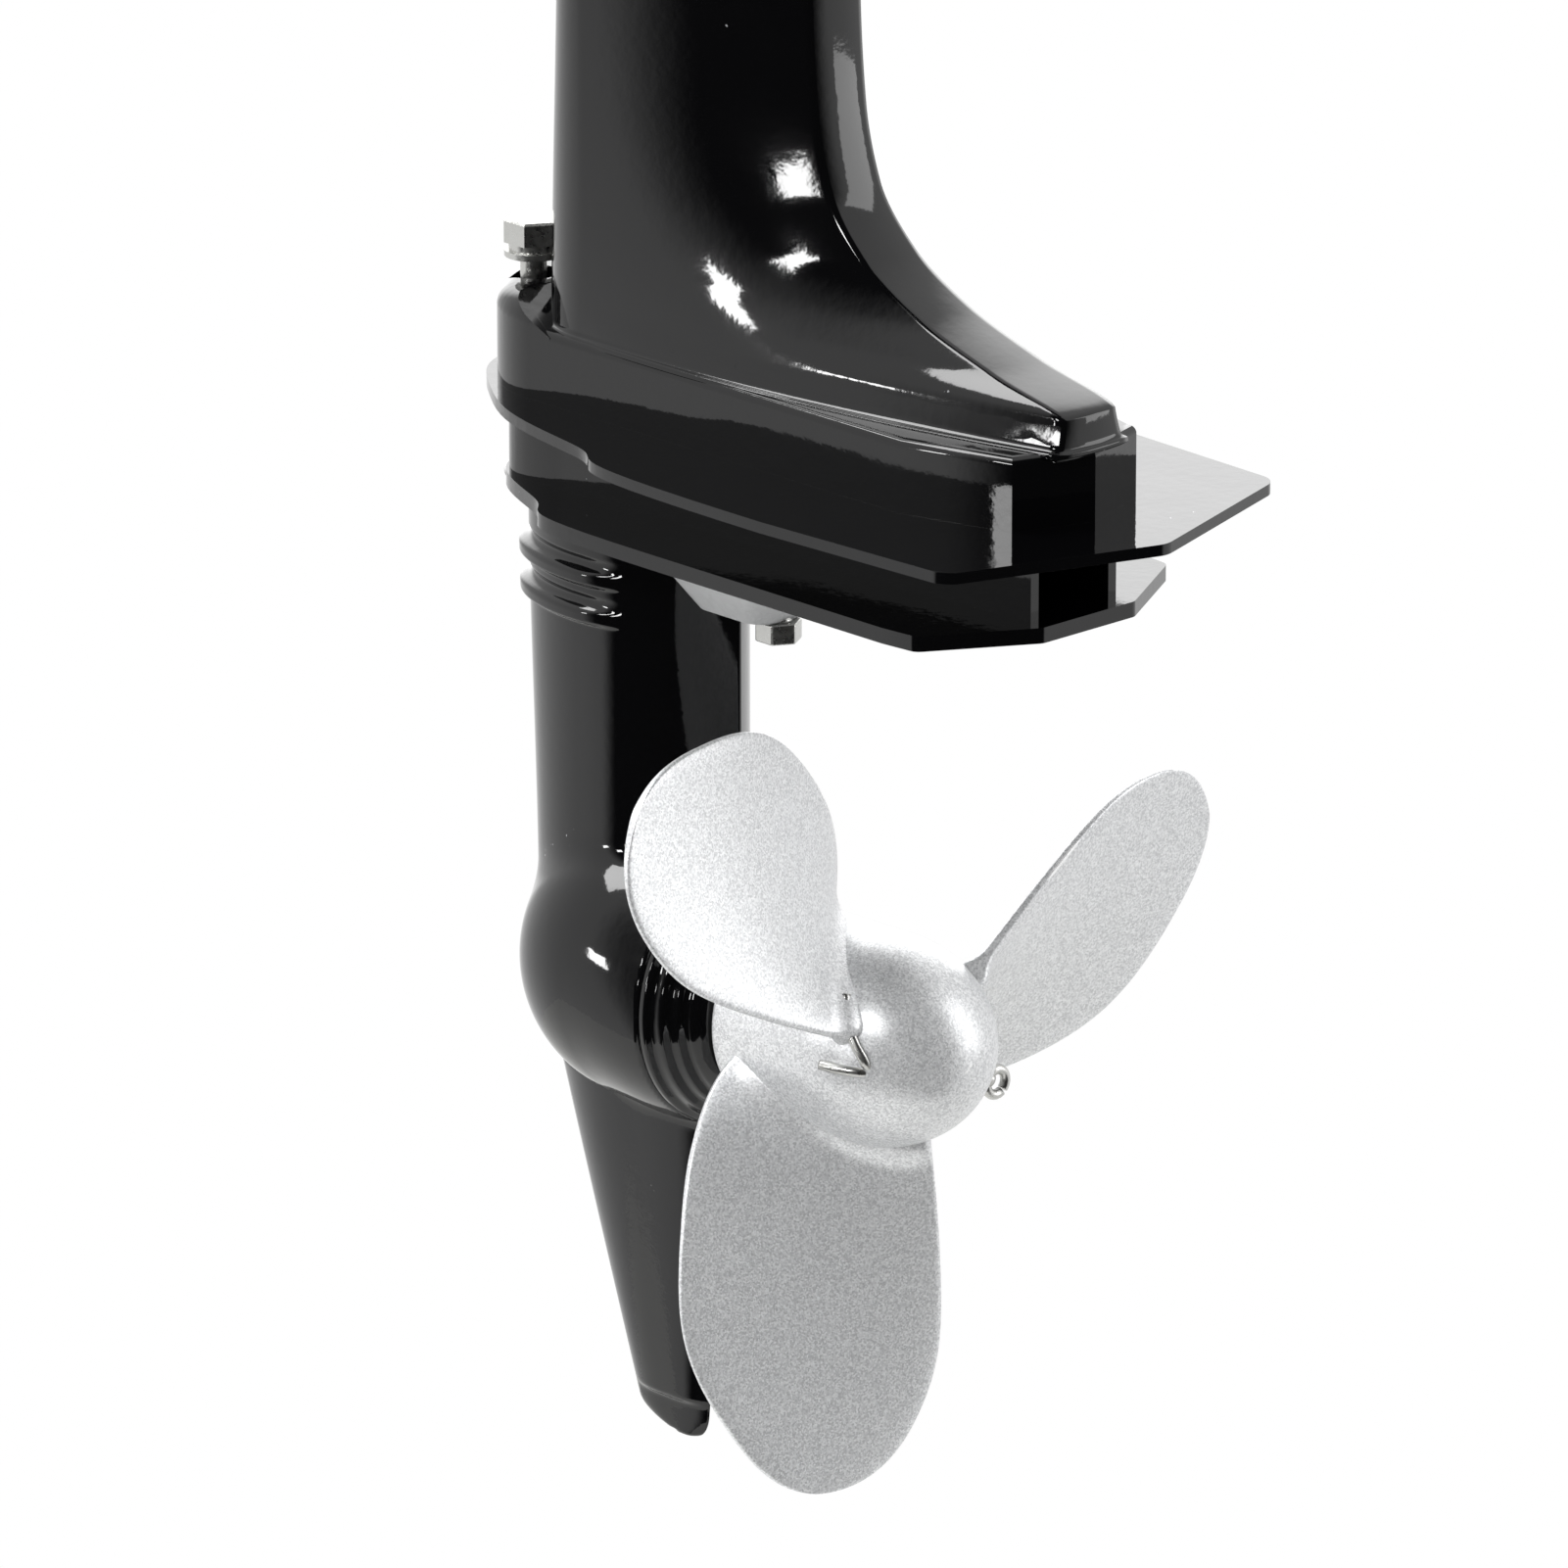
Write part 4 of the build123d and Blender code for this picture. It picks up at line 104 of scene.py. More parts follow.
def studio():
    """White to the camera. In reflections: dark towards the camera, bright behind the motor."""
    world = bpy.data.worlds.new("studio")
    world.use_nodes = True
    tree = world.node_tree
    tree.nodes.clear()
    out = add(tree, "OutputWorld")
    ray = add(tree, "LightPath")
    way = add(tree, "NewGeometry").outputs["Incoming"]
    flat = add(tree, "VectorMath", {0: way, 1: (1.0, 1.0, 0.0)}, operation="MULTIPLY").outputs[0]
    flat = add(tree, "VectorMath", {0: flat}, operation="NORMALIZE").outputs[0]
    ahead = (-np.sin(VIEW_AZIMUTH), np.cos(VIEW_AZIMUTH), 0.0)
    side = add(tree, "VectorMath", {0: flat, 1: ahead}, operation="DOT_PRODUCT").outputs["Value"]
    flag = add(
        tree,
        "MapRange",
        {"Value": side, "From Min": 0.50, "From Max": 0.22, "To Min": 0.02, "To Max": 1.0},
        interpolation_type="SMOOTHSTEP",
    ).outputs[0]
    sheet_way = Vector((-0.69, 0.66, 0.30)).normalized()
    sheet = add(tree, "VectorMath", {0: way, 1: tuple(-sheet_way)}, operation="DOT_PRODUCT").outputs["Value"]
    sheet = add(
        tree,
        "MapRange",
        {"Value": sheet, "From Min": 0.80, "From Max": 0.95, "To Min": 0.0, "To Max": 2.2},
        interpolation_type="SMOOTHSTEP",
    ).outputs[0]
    glossy = add(tree, "Math", {0: flag, 1: sheet}, operation="ADD").outputs[0]
    in_gloss, in_camera = ray.outputs["Is Glossy Ray"], ray.outputs["Is Camera Ray"]
    shown = add(tree, "Mix", {0: in_gloss, 2: 0.62, 3: glossy}, data_type="FLOAT").outputs[0]
    shown = add(tree, "Mix", {0: in_camera, 2: shown, 3: 1.0}, data_type="FLOAT").outputs[0]
    light = add(tree, "Background", {"Color": (1.0, 1.0, 1.0, 1.0), "Strength": shown})
    tree.links.new(light.outputs[0], out.inputs[0])
    bpy.context.scene.world = world


studio()


def lamp(name, place, target, size, power, tall=None):
    """Soft box of the given width and height in metres (square without tall), turned to a target."""
    light = bpy.data.lights.new(name, "AREA")
    light.shape = "RECTANGLE"
    light.size = size
    light.size_y = tall or size
    light.energy = power
    made = bpy.data.objects.new(name, light)
    bpy.context.scene.collection.objects.link(made)
    made.location = place
    made.rotation_euler = (Vector(place) - Vector(target)).to_track_quat("Z", "Y").to_euler()
    return made


lamp("lamp_overhead", (-0.75, -0.60, 1.36), (0.2, 0.0, -0.41), 0.9, 26.0)
lamp("lamp_key", (0.70, -2.10, 1.10), (0.1, 0.0, -0.50), 0.5, 22.0)
lamp("lamp_fill", (1.50, 1.50, 0.10), (0.1, 0.0, -0.45), 0.9, 14.0, 1.7)
# Three small soft boxes on the port side, seen as bright squares in the foot of the leg.
FOOT_POINT = (0.140, -0.014, -0.40)
PORT_LAMPS = ((-0.553, -1.346, -0.309), (-0.177, -1.422, -0.001), (0.113, -1.509, -0.400))
for number, place in enumerate(PORT_LAMPS):
    lamp(f"lamp_port_{number + 1}", place, FOOT_POINT, 0.15, 1.9)


def pale_floor(side, height):
    """Plain square floor of the given side under the motor. It is white to the camera and through
    clear pieces, and matt and pale to all other light."""
    material = bpy.data.materials.new("pale_floor")
    material.use_nodes = True
    tree = material.node_tree
    tree.nodes.clear()
    ray = add(tree, "LightPath").outputs
    rays = {0: ray["Is Camera Ray"], 1: ray["Is Transmission Ray"]}
    seen = add(tree, "Math", rays, operation="MAXIMUM").outputs[0]
    matt = add(tree, "BsdfDiffuse", {"Color": linear("#e9e9e7")}).outputs[0]
    white = add(tree, "Emission", {"Color": (1.0, 1.0, 1.0, 1.0), "Strength": 1.0}).outputs[0]
    both = add(tree, "MixShader", {0: seen, 1: matt, 2: white}).outputs[0]
    tree.links.new(both, add(tree, "OutputMaterial").inputs[0])
    mesh = bpy.data.meshes.new("floor")
    corners = [(x * side / 2, y * side / 2, height) for x, y in ((-1, -1), (1, -1), (1, 1), (-1, 1))]
    mesh.from_pydata(corners, [], [(0, 1, 2, 3)])
    mesh.materials.append(material)
    floor = bpy.data.objects.new("floor", mesh)
    bpy.context.scene.collection.objects.link(floor)


FLOOR_SIDE = 1.1
FLOOR_HEIGHT = -0.95
pale_floor(FLOOR_SIDE, FLOOR_HEIGHT)


# Leg housing, with its skirt and collar
# One aluminium casting, stove enamelled gloss black: a column with a round nose, a crisp edge on
# each side and a narrow spine that sweeps aft at the foot, a flat skirt under it, a collar on top.
FINISH = {}
SLOTS = {part["node"]: part["material_slot"] for part in frame["record"]["subparts"]}
EDGE_WIDTH = 0.0004
EDGE_ANGLE = 34.0
MERGE_DISTANCE = 0.00001
FLAT_ANGLE = 0.4


def dress(node, width=EDGE_WIDTH, above=None, below=None, name=None):
    """A copy of the node's mesh: doubles merged, flat faces joined, edges rounded by the width.
    With above or below, only what lies on that side of the height is kept, and the cut is closed."""
    slot = SLOTS[node]
    source = frame["nodes"][node]
    mesh = bpy.data.meshes.new(node + "_shape")
    work = bmesh.new()
    work.from_mesh(source.data)
    bmesh.ops.remove_doubles(work, verts=work.verts, dist=MERGE_DISTANCE)
    flat = np.radians(FLAT_ANGLE)
    bmesh.ops.dissolve_limit(
        work, angle_limit=flat, verts=work.verts, edges=work.edges, use_dissolve_boundaries=False
    )
    for height, upward in ((above, 1.0), (below, -1.0)):
        if height is not None:
            whole = work.verts[:] + work.edges[:] + work.faces[:]
            cut = bmesh.ops.bisect_plane(
                work, geom=whole, plane_co=(0, 0, height), plane_no=(0, 0, -upward), clear_outer=True
            )
            rim = [edge for edge in cut["geom_cut"] if isinstance(edge, bmesh.types.BMEdge)]
            bmesh.ops.holes_fill(work, edges=rim, sides=0)
    for face in work.faces:
        face.smooth = True
    work.to_mesh(mesh)
    work.free()
    piece = bpy.data.objects.new((name or node) + "_piece", mesh)
    bpy.context.scene.collection.objects.link(piece)
    mesh.materials.append(FINISH[slot])
    if width:
        round_edge = piece.modifiers.new("broken edges", "BEVEL")
        round_edge.width = width
        round_edge.segments = 2
        round_edge.limit_method = "ANGLE"
        round_edge.angle_limit = np.radians(EDGE_ANGLE)
        round_edge.harden_normals = False
    weigh = piece.modifiers.new("even shading", "WEIGHTED_NORMAL")
    weigh.keep_sharp = True
    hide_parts(node)
    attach(piece, source["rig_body"])


def begin(name):
    """New material with a Principled shader: gives the material, its tree, shader and object place."""
    material = bpy.data.materials.new(name)
    material.use_nodes = True
    tree = material.node_tree
    tree.nodes.clear()
    out = add(tree, "OutputMaterial")
    shader = add(tree, "BsdfPrincipled")
    tree.links.new(shader.outputs[0], out.inputs[0])
    place = add(tree, "TexCoord").outputs["Object"]
    return material, tree, shader, place


def gloss_black_enamel():
    """Stove enamel on cast aluminium: near black, with sharp reflections that a faint orange peel of
    2 to 15 mm bends a little, and now and then a small bare chip."""
    material, tree, shader, place = begin("gloss_black_enamel")
    shader.inputs["IOR"].default_value = 1.5
    peel = add(tree, "TexNoise", {"Vector": place, "Scale": 420.0, "Detail": 2.0}).outputs[0]
    wave = add(tree, "TexNoise", {"Vector": place, "Scale": 60.0, "Detail": 1.0}).outputs[0]
    tall = add(tree, "Math", {0: wave, 1: 3.0, 2: peel}, operation="MULTIPLY_ADD").outputs[0]
    bump = add(tree, "Bump", {"Strength": 0.05, "Distance": 0.0004, "Height": tall}).outputs[0]
    tree.links.new(bump, shader.inputs["Normal"])
    scuff = add(tree, "TexNoise", {"Vector": place, "Scale": 900.0, "Detail": 3.0}).outputs[0]
    patch = add(tree, "TexNoise", {"Vector": place, "Scale": 45.0, "Detail": 2.0}).outputs[0]
    both = add(tree, "Math", {0: scuff, 1: patch}, operation="MULTIPLY").outputs[0]
    bare = {"Value": both, "From Min": 0.520, "From Max": 0.530, "To Min": 0.0, "To Max": 1.0}
    chip = add(tree, "MapRange", bare).outputs[0]
    shades = {0: chip, 6: linear("#050506"), 7: linear("#8f9092")}
    colour = add(tree, "Mix", shades, data_type="RGBA").outputs[2]
    tree.links.new(colour, shader.inputs["Base Color"])
    uneven = {"Value": patch, "From Min": 0.3, "From Max": 0.7, "To Min": 0.04, "To Max": 0.08}
    rough = add(tree, "MapRange", uneven).outputs[0]
    tree.links.new(rough, shader.inputs["Roughness"])
    return material


def plain(name, colour, rough, metal=0.0, grain=250.0, depth=0.00008, spread=0.06):
    """Plain finish: one colour with slight mottling, grain of the given count per metre and depth in
    metres, and a roughness that varies by the spread."""
    material, tree, shader, place = begin(name)
    shader.inputs["Metallic"].default_value = metal
    shader.inputs["IOR"].default_value = 1.5
    fine = add(tree, "TexNoise", {"Vector": place, "Scale": grain, "Detail": 4.0}).outputs[0]
    wide = add(tree, "TexNoise", {"Vector": place, "Scale": grain / 8.0, "Detail": 2.0}).outputs[0]
    dark = tuple(c * 0.8 for c in linear(colour)[:3]) + (1.0,)
    shade = add(tree, "Mix", {0: wide, 6: dark, 7: linear(colour)}, data_type="RGBA").outputs[2]
    tree.links.new(shade, shader.inputs["Base Color"])
    uneven = {"From Min": 0.3, "From Max": 0.7, "To Min": rough - spread, "To Max": rough + spread}
    gloss = add(tree, "MapRange", {"Value": fine, **uneven}).outputs[0]
    tree.links.new(gloss, shader.inputs["Roughness"])
    bump = add(tree, "Bump", {"Strength": 0.5, "Distance": depth, "Height": fine}).outputs[0]
    tree.links.new(bump, shader.inputs["Normal"])
    return material


FINISH["black_paint"] = gloss_black_enamel()
DRIVE_X = 0.095
SHAFT_Z = -0.55


def leg_place(u, v, h):
    """Leg coordinates in mm (aft of the drive axis, starboard, above the propeller shaft) to metres."""
    u, v, h = np.broadcast_arrays(u, v, h)
    return np.stack([DRIVE_X + 0.001 * u, 0.001 * v, SHAFT_Z + 0.001 * h], axis=-1)


def skin(name, grid, node):
    """A closed skin in place of the node, from rings of points: each ring joins the next, and a
    middle point closes each end."""
    rings, around = grid.shape[:2]
    points = np.concatenate([grid.reshape(-1, 3), grid[0].mean(0)[None], grid[-1].mean(0)[None]])
    index = np.arange(rings * around).reshape(rings, around)
    after = np.roll(index, -1, axis=1)
    walls = np.stack([index[:-1], after[:-1], after[1:], index[1:]], axis=-1).reshape(-1, 4)
    first = np.stack([after[0], index[0], np.full(around, rings * around)], axis=-1)
    last = np.stack([index[-1], after[-1], np.full(around, rings * around + 1)], axis=-1)
    mesh = bpy.data.meshes.new(name)
    mesh.from_pydata(points.tolist(), [], walls.tolist() + first.tolist() + last.tolist())
    work = bmesh.new()
    work.from_mesh(mesh)
    bmesh.ops.recalc_face_normals(work, faces=work.faces)
    for face in work.faces:
        face.smooth = True
    work.to_mesh(mesh)
    work.free()
    mesh.materials.append(FINISH[SLOTS[node]])
    piece = bpy.data.objects.new(name, mesh)
    bpy.context.scene.collection.objects.link(piece)
    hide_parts(node)
    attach(piece, frame["nodes"][node]["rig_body"])


def arc(start, through, end, count):
    """Points of the circle through three points: centre from the two chords' right bisectors."""
    (ax, ay), (bx, by), (cx, cy) = start, through, end
    aa, bb, cc = ax * ax + ay * ay, bx * bx + by * by, cx * cx + cy * cy
    d = 2.0 * (ax * (by - cy) + bx * (cy - ay) + cx * (ay - by))
    px = (aa * (by - cy) + bb * (cy - ay) + cc * (ay - by)) / d
    py = (aa * (cx - bx) + bb * (ax - cx) + cc * (bx - ax)) / d
    first = np.arctan2(ay - py, ax - px)
    middle = (np.arctan2(by - py, bx - px) - first) % (2 * np.pi)
    whole = (np.arctan2(cy - py, cx - px) - first) % (2 * np.pi)
    whole = np.where(middle > whole, whole - 2 * np.pi, whole)
    turn = first[:, None] + whole[:, None] * np.linspace(0.0, 1.0, count)[None]
    size = np.hypot(ax - px, ay - py)[:, None]
    return px[:, None] + size * np.cos(turn), py[:, None] + size * np.sin(turn)


# In mm: height, nose, spine's rear face, spine's half-width, and the side's middle in u and in v
FOOT = np.array(
    [
        (127.5, -15.3, 121.0, 8.5, 62.0, 19.8),
        (134.8, -15.0, 120.5, 6.8, 58.0, 17.4),
        (140.0, -14.8, 101.0, 6.6, 50.0, 16.9),
        (146.0, -14.6, 82.5, 6.6, 42.0, 16.6),
        (154.0, -14.3, 68.0, 6.6, 36.0, 16.2),
        (165.0, -13.8, 58.5, 6.6, 32.0, 15.9),
        (180.0, -13.0, 54.5, 6.6, 30.0, 15.6),
        (200.0, -12.2, 53.0, 6.6, 29.5, 15.4),
        (222.0, -12.0, 52.6, 6.6, 29.2, 15.3),
    ]
)


def smooth_through(at, knots, values):
    """Monotone cubic through the knots: slopes are harmonic means of the neighbouring chords."""
    step = np.diff(knots)
    chord = np.diff(values) / step
    both = chord[:-1] * chord[1:]
    mean = np.where(both > 0, 2 * both / np.where(both > 0, chord[:-1] + chord[1:], 1.0), 0.0)
    slope = np.concatenate([[chord[0]], mean, [chord[-1]]])
    cell = np.clip(np.searchsorted(knots, at) - 1, 0, len(knots) - 2)
    t = (at - knots[cell]) / step[cell]
    start, end = values[cell], values[cell + 1]
    rise, fall = slope[cell] * step[cell], slope[cell + 1] * step[cell]
    early = start * (1 + 2 * t) * (1 - t) ** 2 + rise * t * (1 - t) ** 2
    return early + end * t * t * (3 - 2 * t) + fall * t * t * (t - 1)


COLUMN_HALF = 20.5
NOSE_EDGE_U = 5.6
COVE_R = 1.1
SKIRT_TOP = 129.0
SKIRT_CUT = 136.5
COLLAR_CUT = 221.9
SPINE_CROWN = 0.8


def column_rings(heights):
    """One ring at each height: the spine's arc, a side arc from the spine to the nose edge, half an
    ellipse round the nose, and the same again mirrored. Below, a quarter-round cove spreads it."""
    nose, rear, spine, side_u, side_v = (smooth_through(heights, FOOT[:, 0], FOOT[:, k]) for k in range(1, 6))
    edge = np.full_like(heights, NOSE_EDGE_U)
    half = np.full_like(heights, COLUMN_HALF)
    turn = np.linspace(-np.pi / 2, -np.pi, 40)
    front_u = edge[:, None] + (edge - nose)[:, None] * np.cos(turn)[None]
    front_v = half[:, None] * np.sin(turn)[None]
    port_u, port_v = arc((rear, -spine), (side_u, -side_v), (edge, -half), 60)
    spine_u, spine_v = arc((rear, spine), (rear + SPINE_CROWN, np.zeros_like(heights)), (rear, -spine), 14)
    starboard_u, starboard_v = front_u[:, ::-1][:, 1:], -front_v[:, ::-1][:, 1:]
    back_u, back_v = port_u[:, ::-1][:, 1:], -port_v[:, ::-1][:, 1:]
    ring_u = np.concatenate([spine_u[:, 1:-1], port_u, front_u[:, 1:], starboard_u, back_u], 1)
    ring_v = np.concatenate([spine_v[:, 1:-1], port_v, front_v[:, 1:], starboard_v, back_v], 1)
    run_u = np.roll(ring_u, -1, 1) - np.roll(ring_u, 1, 1)
    run_v = np.roll(ring_v, -1, 1) - np.roll(ring_v, 1, 1)
    run = np.hypot(run_u, run_v)
    rise = np.clip((heights - SKIRT_TOP) / COVE_R, 0.0, 1.0)
    cove = 0.12 + COVE_R * (1.0 - np.sqrt(1.0 - (1.0 - rise) ** 2))
    ring_u += cove[:, None] * -run_v / run
    ring_v += cove[:, None] * run_u / run
    return leg_place(ring_u, ring_v, heights[:, None])


column_heights = np.concatenate([np.linspace(128.2, 135.0, 36)[:-1], np.linspace(135.0, 222.0, 150)])
skin("leg_column", column_rings(column_heights), "drive_shaft_housing")
dress("drive_shaft_housing", 0.0009, below=SHAFT_Z + 0.001 * SKIRT_CUT, name="skirt")
dress("drive_shaft_housing", 0.0006, above=SHAFT_Z + 0.001 * COLLAR_CUT, name="collar")


# Gearcase
# Lower casting of enamelled aluminium: rim plate and exhaust duct on top, a strut with two ribs, the
# round bulb that holds the bevel gears, and the skeg. Two bolts hold it up to the skirt.
STRUT_HALF = 17.0
STRUT_REAR = 27.5
STRUT_POWER = 2.6
RIB_FEET = (71.5, 79.0)
BULB_U = 7.5
BULB_R = 28.8
BULB_RISE = 2.4
BULB_TAIL = 50.0
BULB_CUT = 27.0
SKEG_DEPTH = 94.8
SKEG_TOP = 14.0
SKEG_BAND = 87.0


def join(a, b, soft):
    """Smooth smaller of two distances: min(a, b) - soft / 4 * (1 - |a - b| / soft) ** 2 where they meet."""
    near = np.clip(1.0 - np.abs(a - b) / soft, 0.0, 1.0)
    return np.minimum(a, b) - 0.25 * soft * near * near


def ramp(x):
    """0 below 0, 1 above 1, and 3 x ** 2 - 2 x ** 3 between."""
    x = np.clip(x, 0.0, 1.0)
    return x * x * (3.0 - 2.0 * x)


def strut_gap(u, v, h):
    """Strut: an ellipse ahead of u 0, and |v| = half * (1 - (u / rear) ** 2.6) behind it, divided by
    that curve's steepness. It widens at two ribs and, by a square law, under the plate."""
    front = 23.0 + 3.0 * ramp((h - 5.0) / 90.0)
    ahead = STRUT_HALF * (np.hypot(u / front, v / STRUT_HALF) - 1.0)
    back = np.abs(u / STRUT_REAR)
    steep = STRUT_POWER * STRUT_HALF / STRUT_REAR * back ** (STRUT_POWER - 1.0)
    behind = (np.abs(v) - STRUT_HALF * (1.0 - back**STRUT_POWER)) / np.sqrt(1.0 + steep**2)
    gap = np.where(u < 0.01, ahead, behind)
    fade = 1.0 - ramp(u / 14.0)
    for foot in RIB_FEET:
        rib = ramp((h - foot + 0.6) / 1.2) * (1.0 - ramp((h - foot - 2.0) / 2.4))
        groove = ramp((h - foot - 2.6) / 1.0) * (1.0 - ramp((h - foot - 4.6) / 1.2))
        gap = gap - (1.5 * rib - 0.5 * groove) * fade
    return gap - 2.5 * np.clip((h - 90.6) / 3.0, 0.0, 1.2) ** 2


def bulb_gap(u, v, h):
    """Bulb: a ball ahead of its widest place, a longer ellipsoid behind it, cut flat at the cap."""
    long = np.where(u < BULB_U, BULB_R, BULB_TAIL)
    middle = BULB_RISE * (1.0 - ramp((u - BULB_U) / 19.0))
    gap = np.sqrt(((u - BULB_U) / long * BULB_R) ** 2 + v * v + (h - middle) ** 2) - BULB_R
    return np.maximum(gap, u - BULB_CUT)


def skeg_gap(u, v, h):
    """Skeg: |v| = half * (1 - |2 s - 1| ** 3), s from the leading to the trailing edge. Both edges
    slope, and at the foot both curve in by r * (1 - sqrt(1 - t * t)), t from 0 to 1."""
    down = np.clip((-h - SKEG_TOP) / 75.7, 0.0, 1.0)
    last = 1.0 - np.sqrt(1.0 - np.clip((-h - SKEG_DEPTH + 5.5) / 5.6, 0.0, 1.0) ** 2)
    front = -27.0 + 25.5 * down**1.04 + 24.0 * ramp((h + 27.0) / 10.0) + 13.0 * last
    back = 26.0 - 7.5 * down - 4.0 * last
    half = 5.0 - 2.7 * down - 1.1 * ramp((-h - SKEG_BAND) / 1.6)
    s = (u - front) / (back - front)
    return np.abs(v) - half * (1.0 - np.abs(2.0 * s - 1.0) ** 3)


def gearcase_gap(u, v, h):
    """Distance-like value of the whole lower casting: strut, bulb and skeg joined with fillets."""
    upper = np.where(h > -6.0, strut_gap(u, v, h), 60.0)
    lower = np.where(h < 8.0, skeg_gap(u, v, h), 60.0)
    return join(join(upper, bulb_gap(u, v, h), 3.2), lower, 4.0)


GEARCASE_REACH = 48.0
GEARCASE_TOP = 94.6
RIM_CUT = 93.2
levels = np.concatenate(
    [
        np.linspace(-SKEG_DEPTH, -SKEG_DEPTH + 10.0, 22)[:-1],
        np.linspace(-SKEG_DEPTH + 10.0, 40.0, 150)[:-1],
        np.linspace(40.0, 68.0, 30)[:-1],
        np.linspace(68.0, 86.0, 60)[:-1],
        np.linspace(86.0, GEARCASE_TOP, 18),
    ]
)


def gearcase_rings(levels):
    """One ring at each level: along each direction from a middle line that leans aft below, the place
    where the gap is nought, found by halving the reach 36 times."""
    turns = np.linspace(0.0, 2 * np.pi, 300, endpoint=False)
    middle_u = 4.0 + 6.0 * ramp((-levels - 20.0) / 70.0)[:, None]
    inner = np.zeros((len(levels), len(turns)))
    outer = np.full_like(inner, GEARCASE_REACH)
    for halving in range(36):
        middle = 0.5 * (inner + outer)
        u, v = middle_u + middle * np.cos(turns), middle * np.sin(turns)
        outside = gearcase_gap(u, v, levels[:, None]) > 0
        inner, outer = np.where(outside, inner, middle), np.where(outside, middle, outer)
    return leg_place(middle_u + inner * np.cos(turns), inner * np.sin(turns), levels[:, None])


skin("gearcase_body", gearcase_rings(levels), "gearcase_housing")
dress("gearcase_housing", 0.0005, above=SHAFT_Z + 0.001 * RIM_CUT, name="gearcase_rim")
dress("gearcase_cap")


# Anode and the bolts of the leg
# The anode is a rough cast block of soft metal screwed under the plate, there to be eaten by the
# sea. Zinc-plated hexagon bolts with two washers each join skirt and gearcase.
FINISH["anode_metal"] = plain("rough_sacrificial_metal", "#c4c5c6", 0.62, 0.35, 420.0, 0.0006)
FINISH["zinc_steel"] = plain("zinc_plated_steel", "#c9c9c6", 0.3, 1.0, 900.0)
for node in ("anode", "anode_screw", "housing_bolt"):
    dress(node)


# Propeller
# Cast aluminium, painted silver: a hub with a rounded tail and three right-hand helical blades with
# blunt round edges. It slips over the shaft and is driven by the shear pin.
HUB_R = 20.5
HUB_FRONT = 40.0
HUB_FACE_R = 18.6
HUB_LIP = 1.6
HUB_BORE = 5.0
HUB_END = 66.0
HUB_TAIL = 24.0
HUB_TAPER = 0.3
BLADE_COUNT = 3
BLADE_R = 88.5
BLADE_ROOT = 16.0
BLADE_PITCH = 130.0
BLADE_MID_U = 66.8
BLADE_FIRST = 13.0
# Radius in mm and angle in degrees along each edge of a blade
BLADE_LEAD = np.array(
    [(16.0, -62.0), (27.0, -55.0), (38.0, -46.0), (52.0, -34.5), (68.0, -23.0), (81.0, -9.0), (BLADE_R, 4.0)]
)
BLADE_TRAIL = np.array([(16.0, 27.0), (40.0, 25.5), (60.0, 23.5), (77.0, 18.0), (84.5, 13.0), (BLADE_R, 4.0)])


def silver_sparkle_paint():
    """Silver enamel full of aluminium flake: each fleck has its own tilt and shade, so the paint
    sparkles. Its sharp rounded edges are painted lighter, a painted highlight along the rims of hub
    and blades. Flecks are drawn 0.3 mm wide, coarser than real flake, so that they show."""
    material, tree, shader, place = begin("silver_sparkle_paint")
    fleck = add(tree, "TexVoronoi", {"Vector": place, "Scale": 3000.0}, feature="F1")
    tint = add(tree, "SeparateColor", {0: fleck.outputs["Color"]}).outputs
    shades = {0: tint[0], 6: linear("#bdbec0"), 7: linear("#eeeff0")}
    shade = add(tree, "Mix", shades, data_type="RGBA").outputs[2]
    # Painted highlight: sharp convex edges, found by pointiness, are mixed towards near white
    sharp = add(tree, "NewGeometry").outputs["Pointiness"]
    rim_highlight_range = {"Value": sharp, "From Min": 0.54, "From Max": 0.60, "To Min": 0.0, "To Max": 0.8}
    rim = add(tree, "MapRange", rim_highlight_range).outputs[0]
    shade = add(tree, "Mix", {0: rim, 6: shade, 7: linear("#fbfbfb")}, data_type="RGBA").outputs[2]
    tree.links.new(shade, shader.inputs["Base Color"])
    shader.inputs["Metallic"].default_value = 0.5
    shader.inputs["Roughness"].default_value = 0.36
    tall = add(tree, "Math", {0: tint[1], 1: tint[2]}, operation="ADD").outputs[0]
    bump = add(tree, "Bump", {"Strength": 0.35, "Distance": 0.0002, "Height": tall}).outputs[0]
    tree.links.new(bump, shader.inputs["Normal"])
    return material


FINISH["silver_paint"] = silver_sparkle_paint()


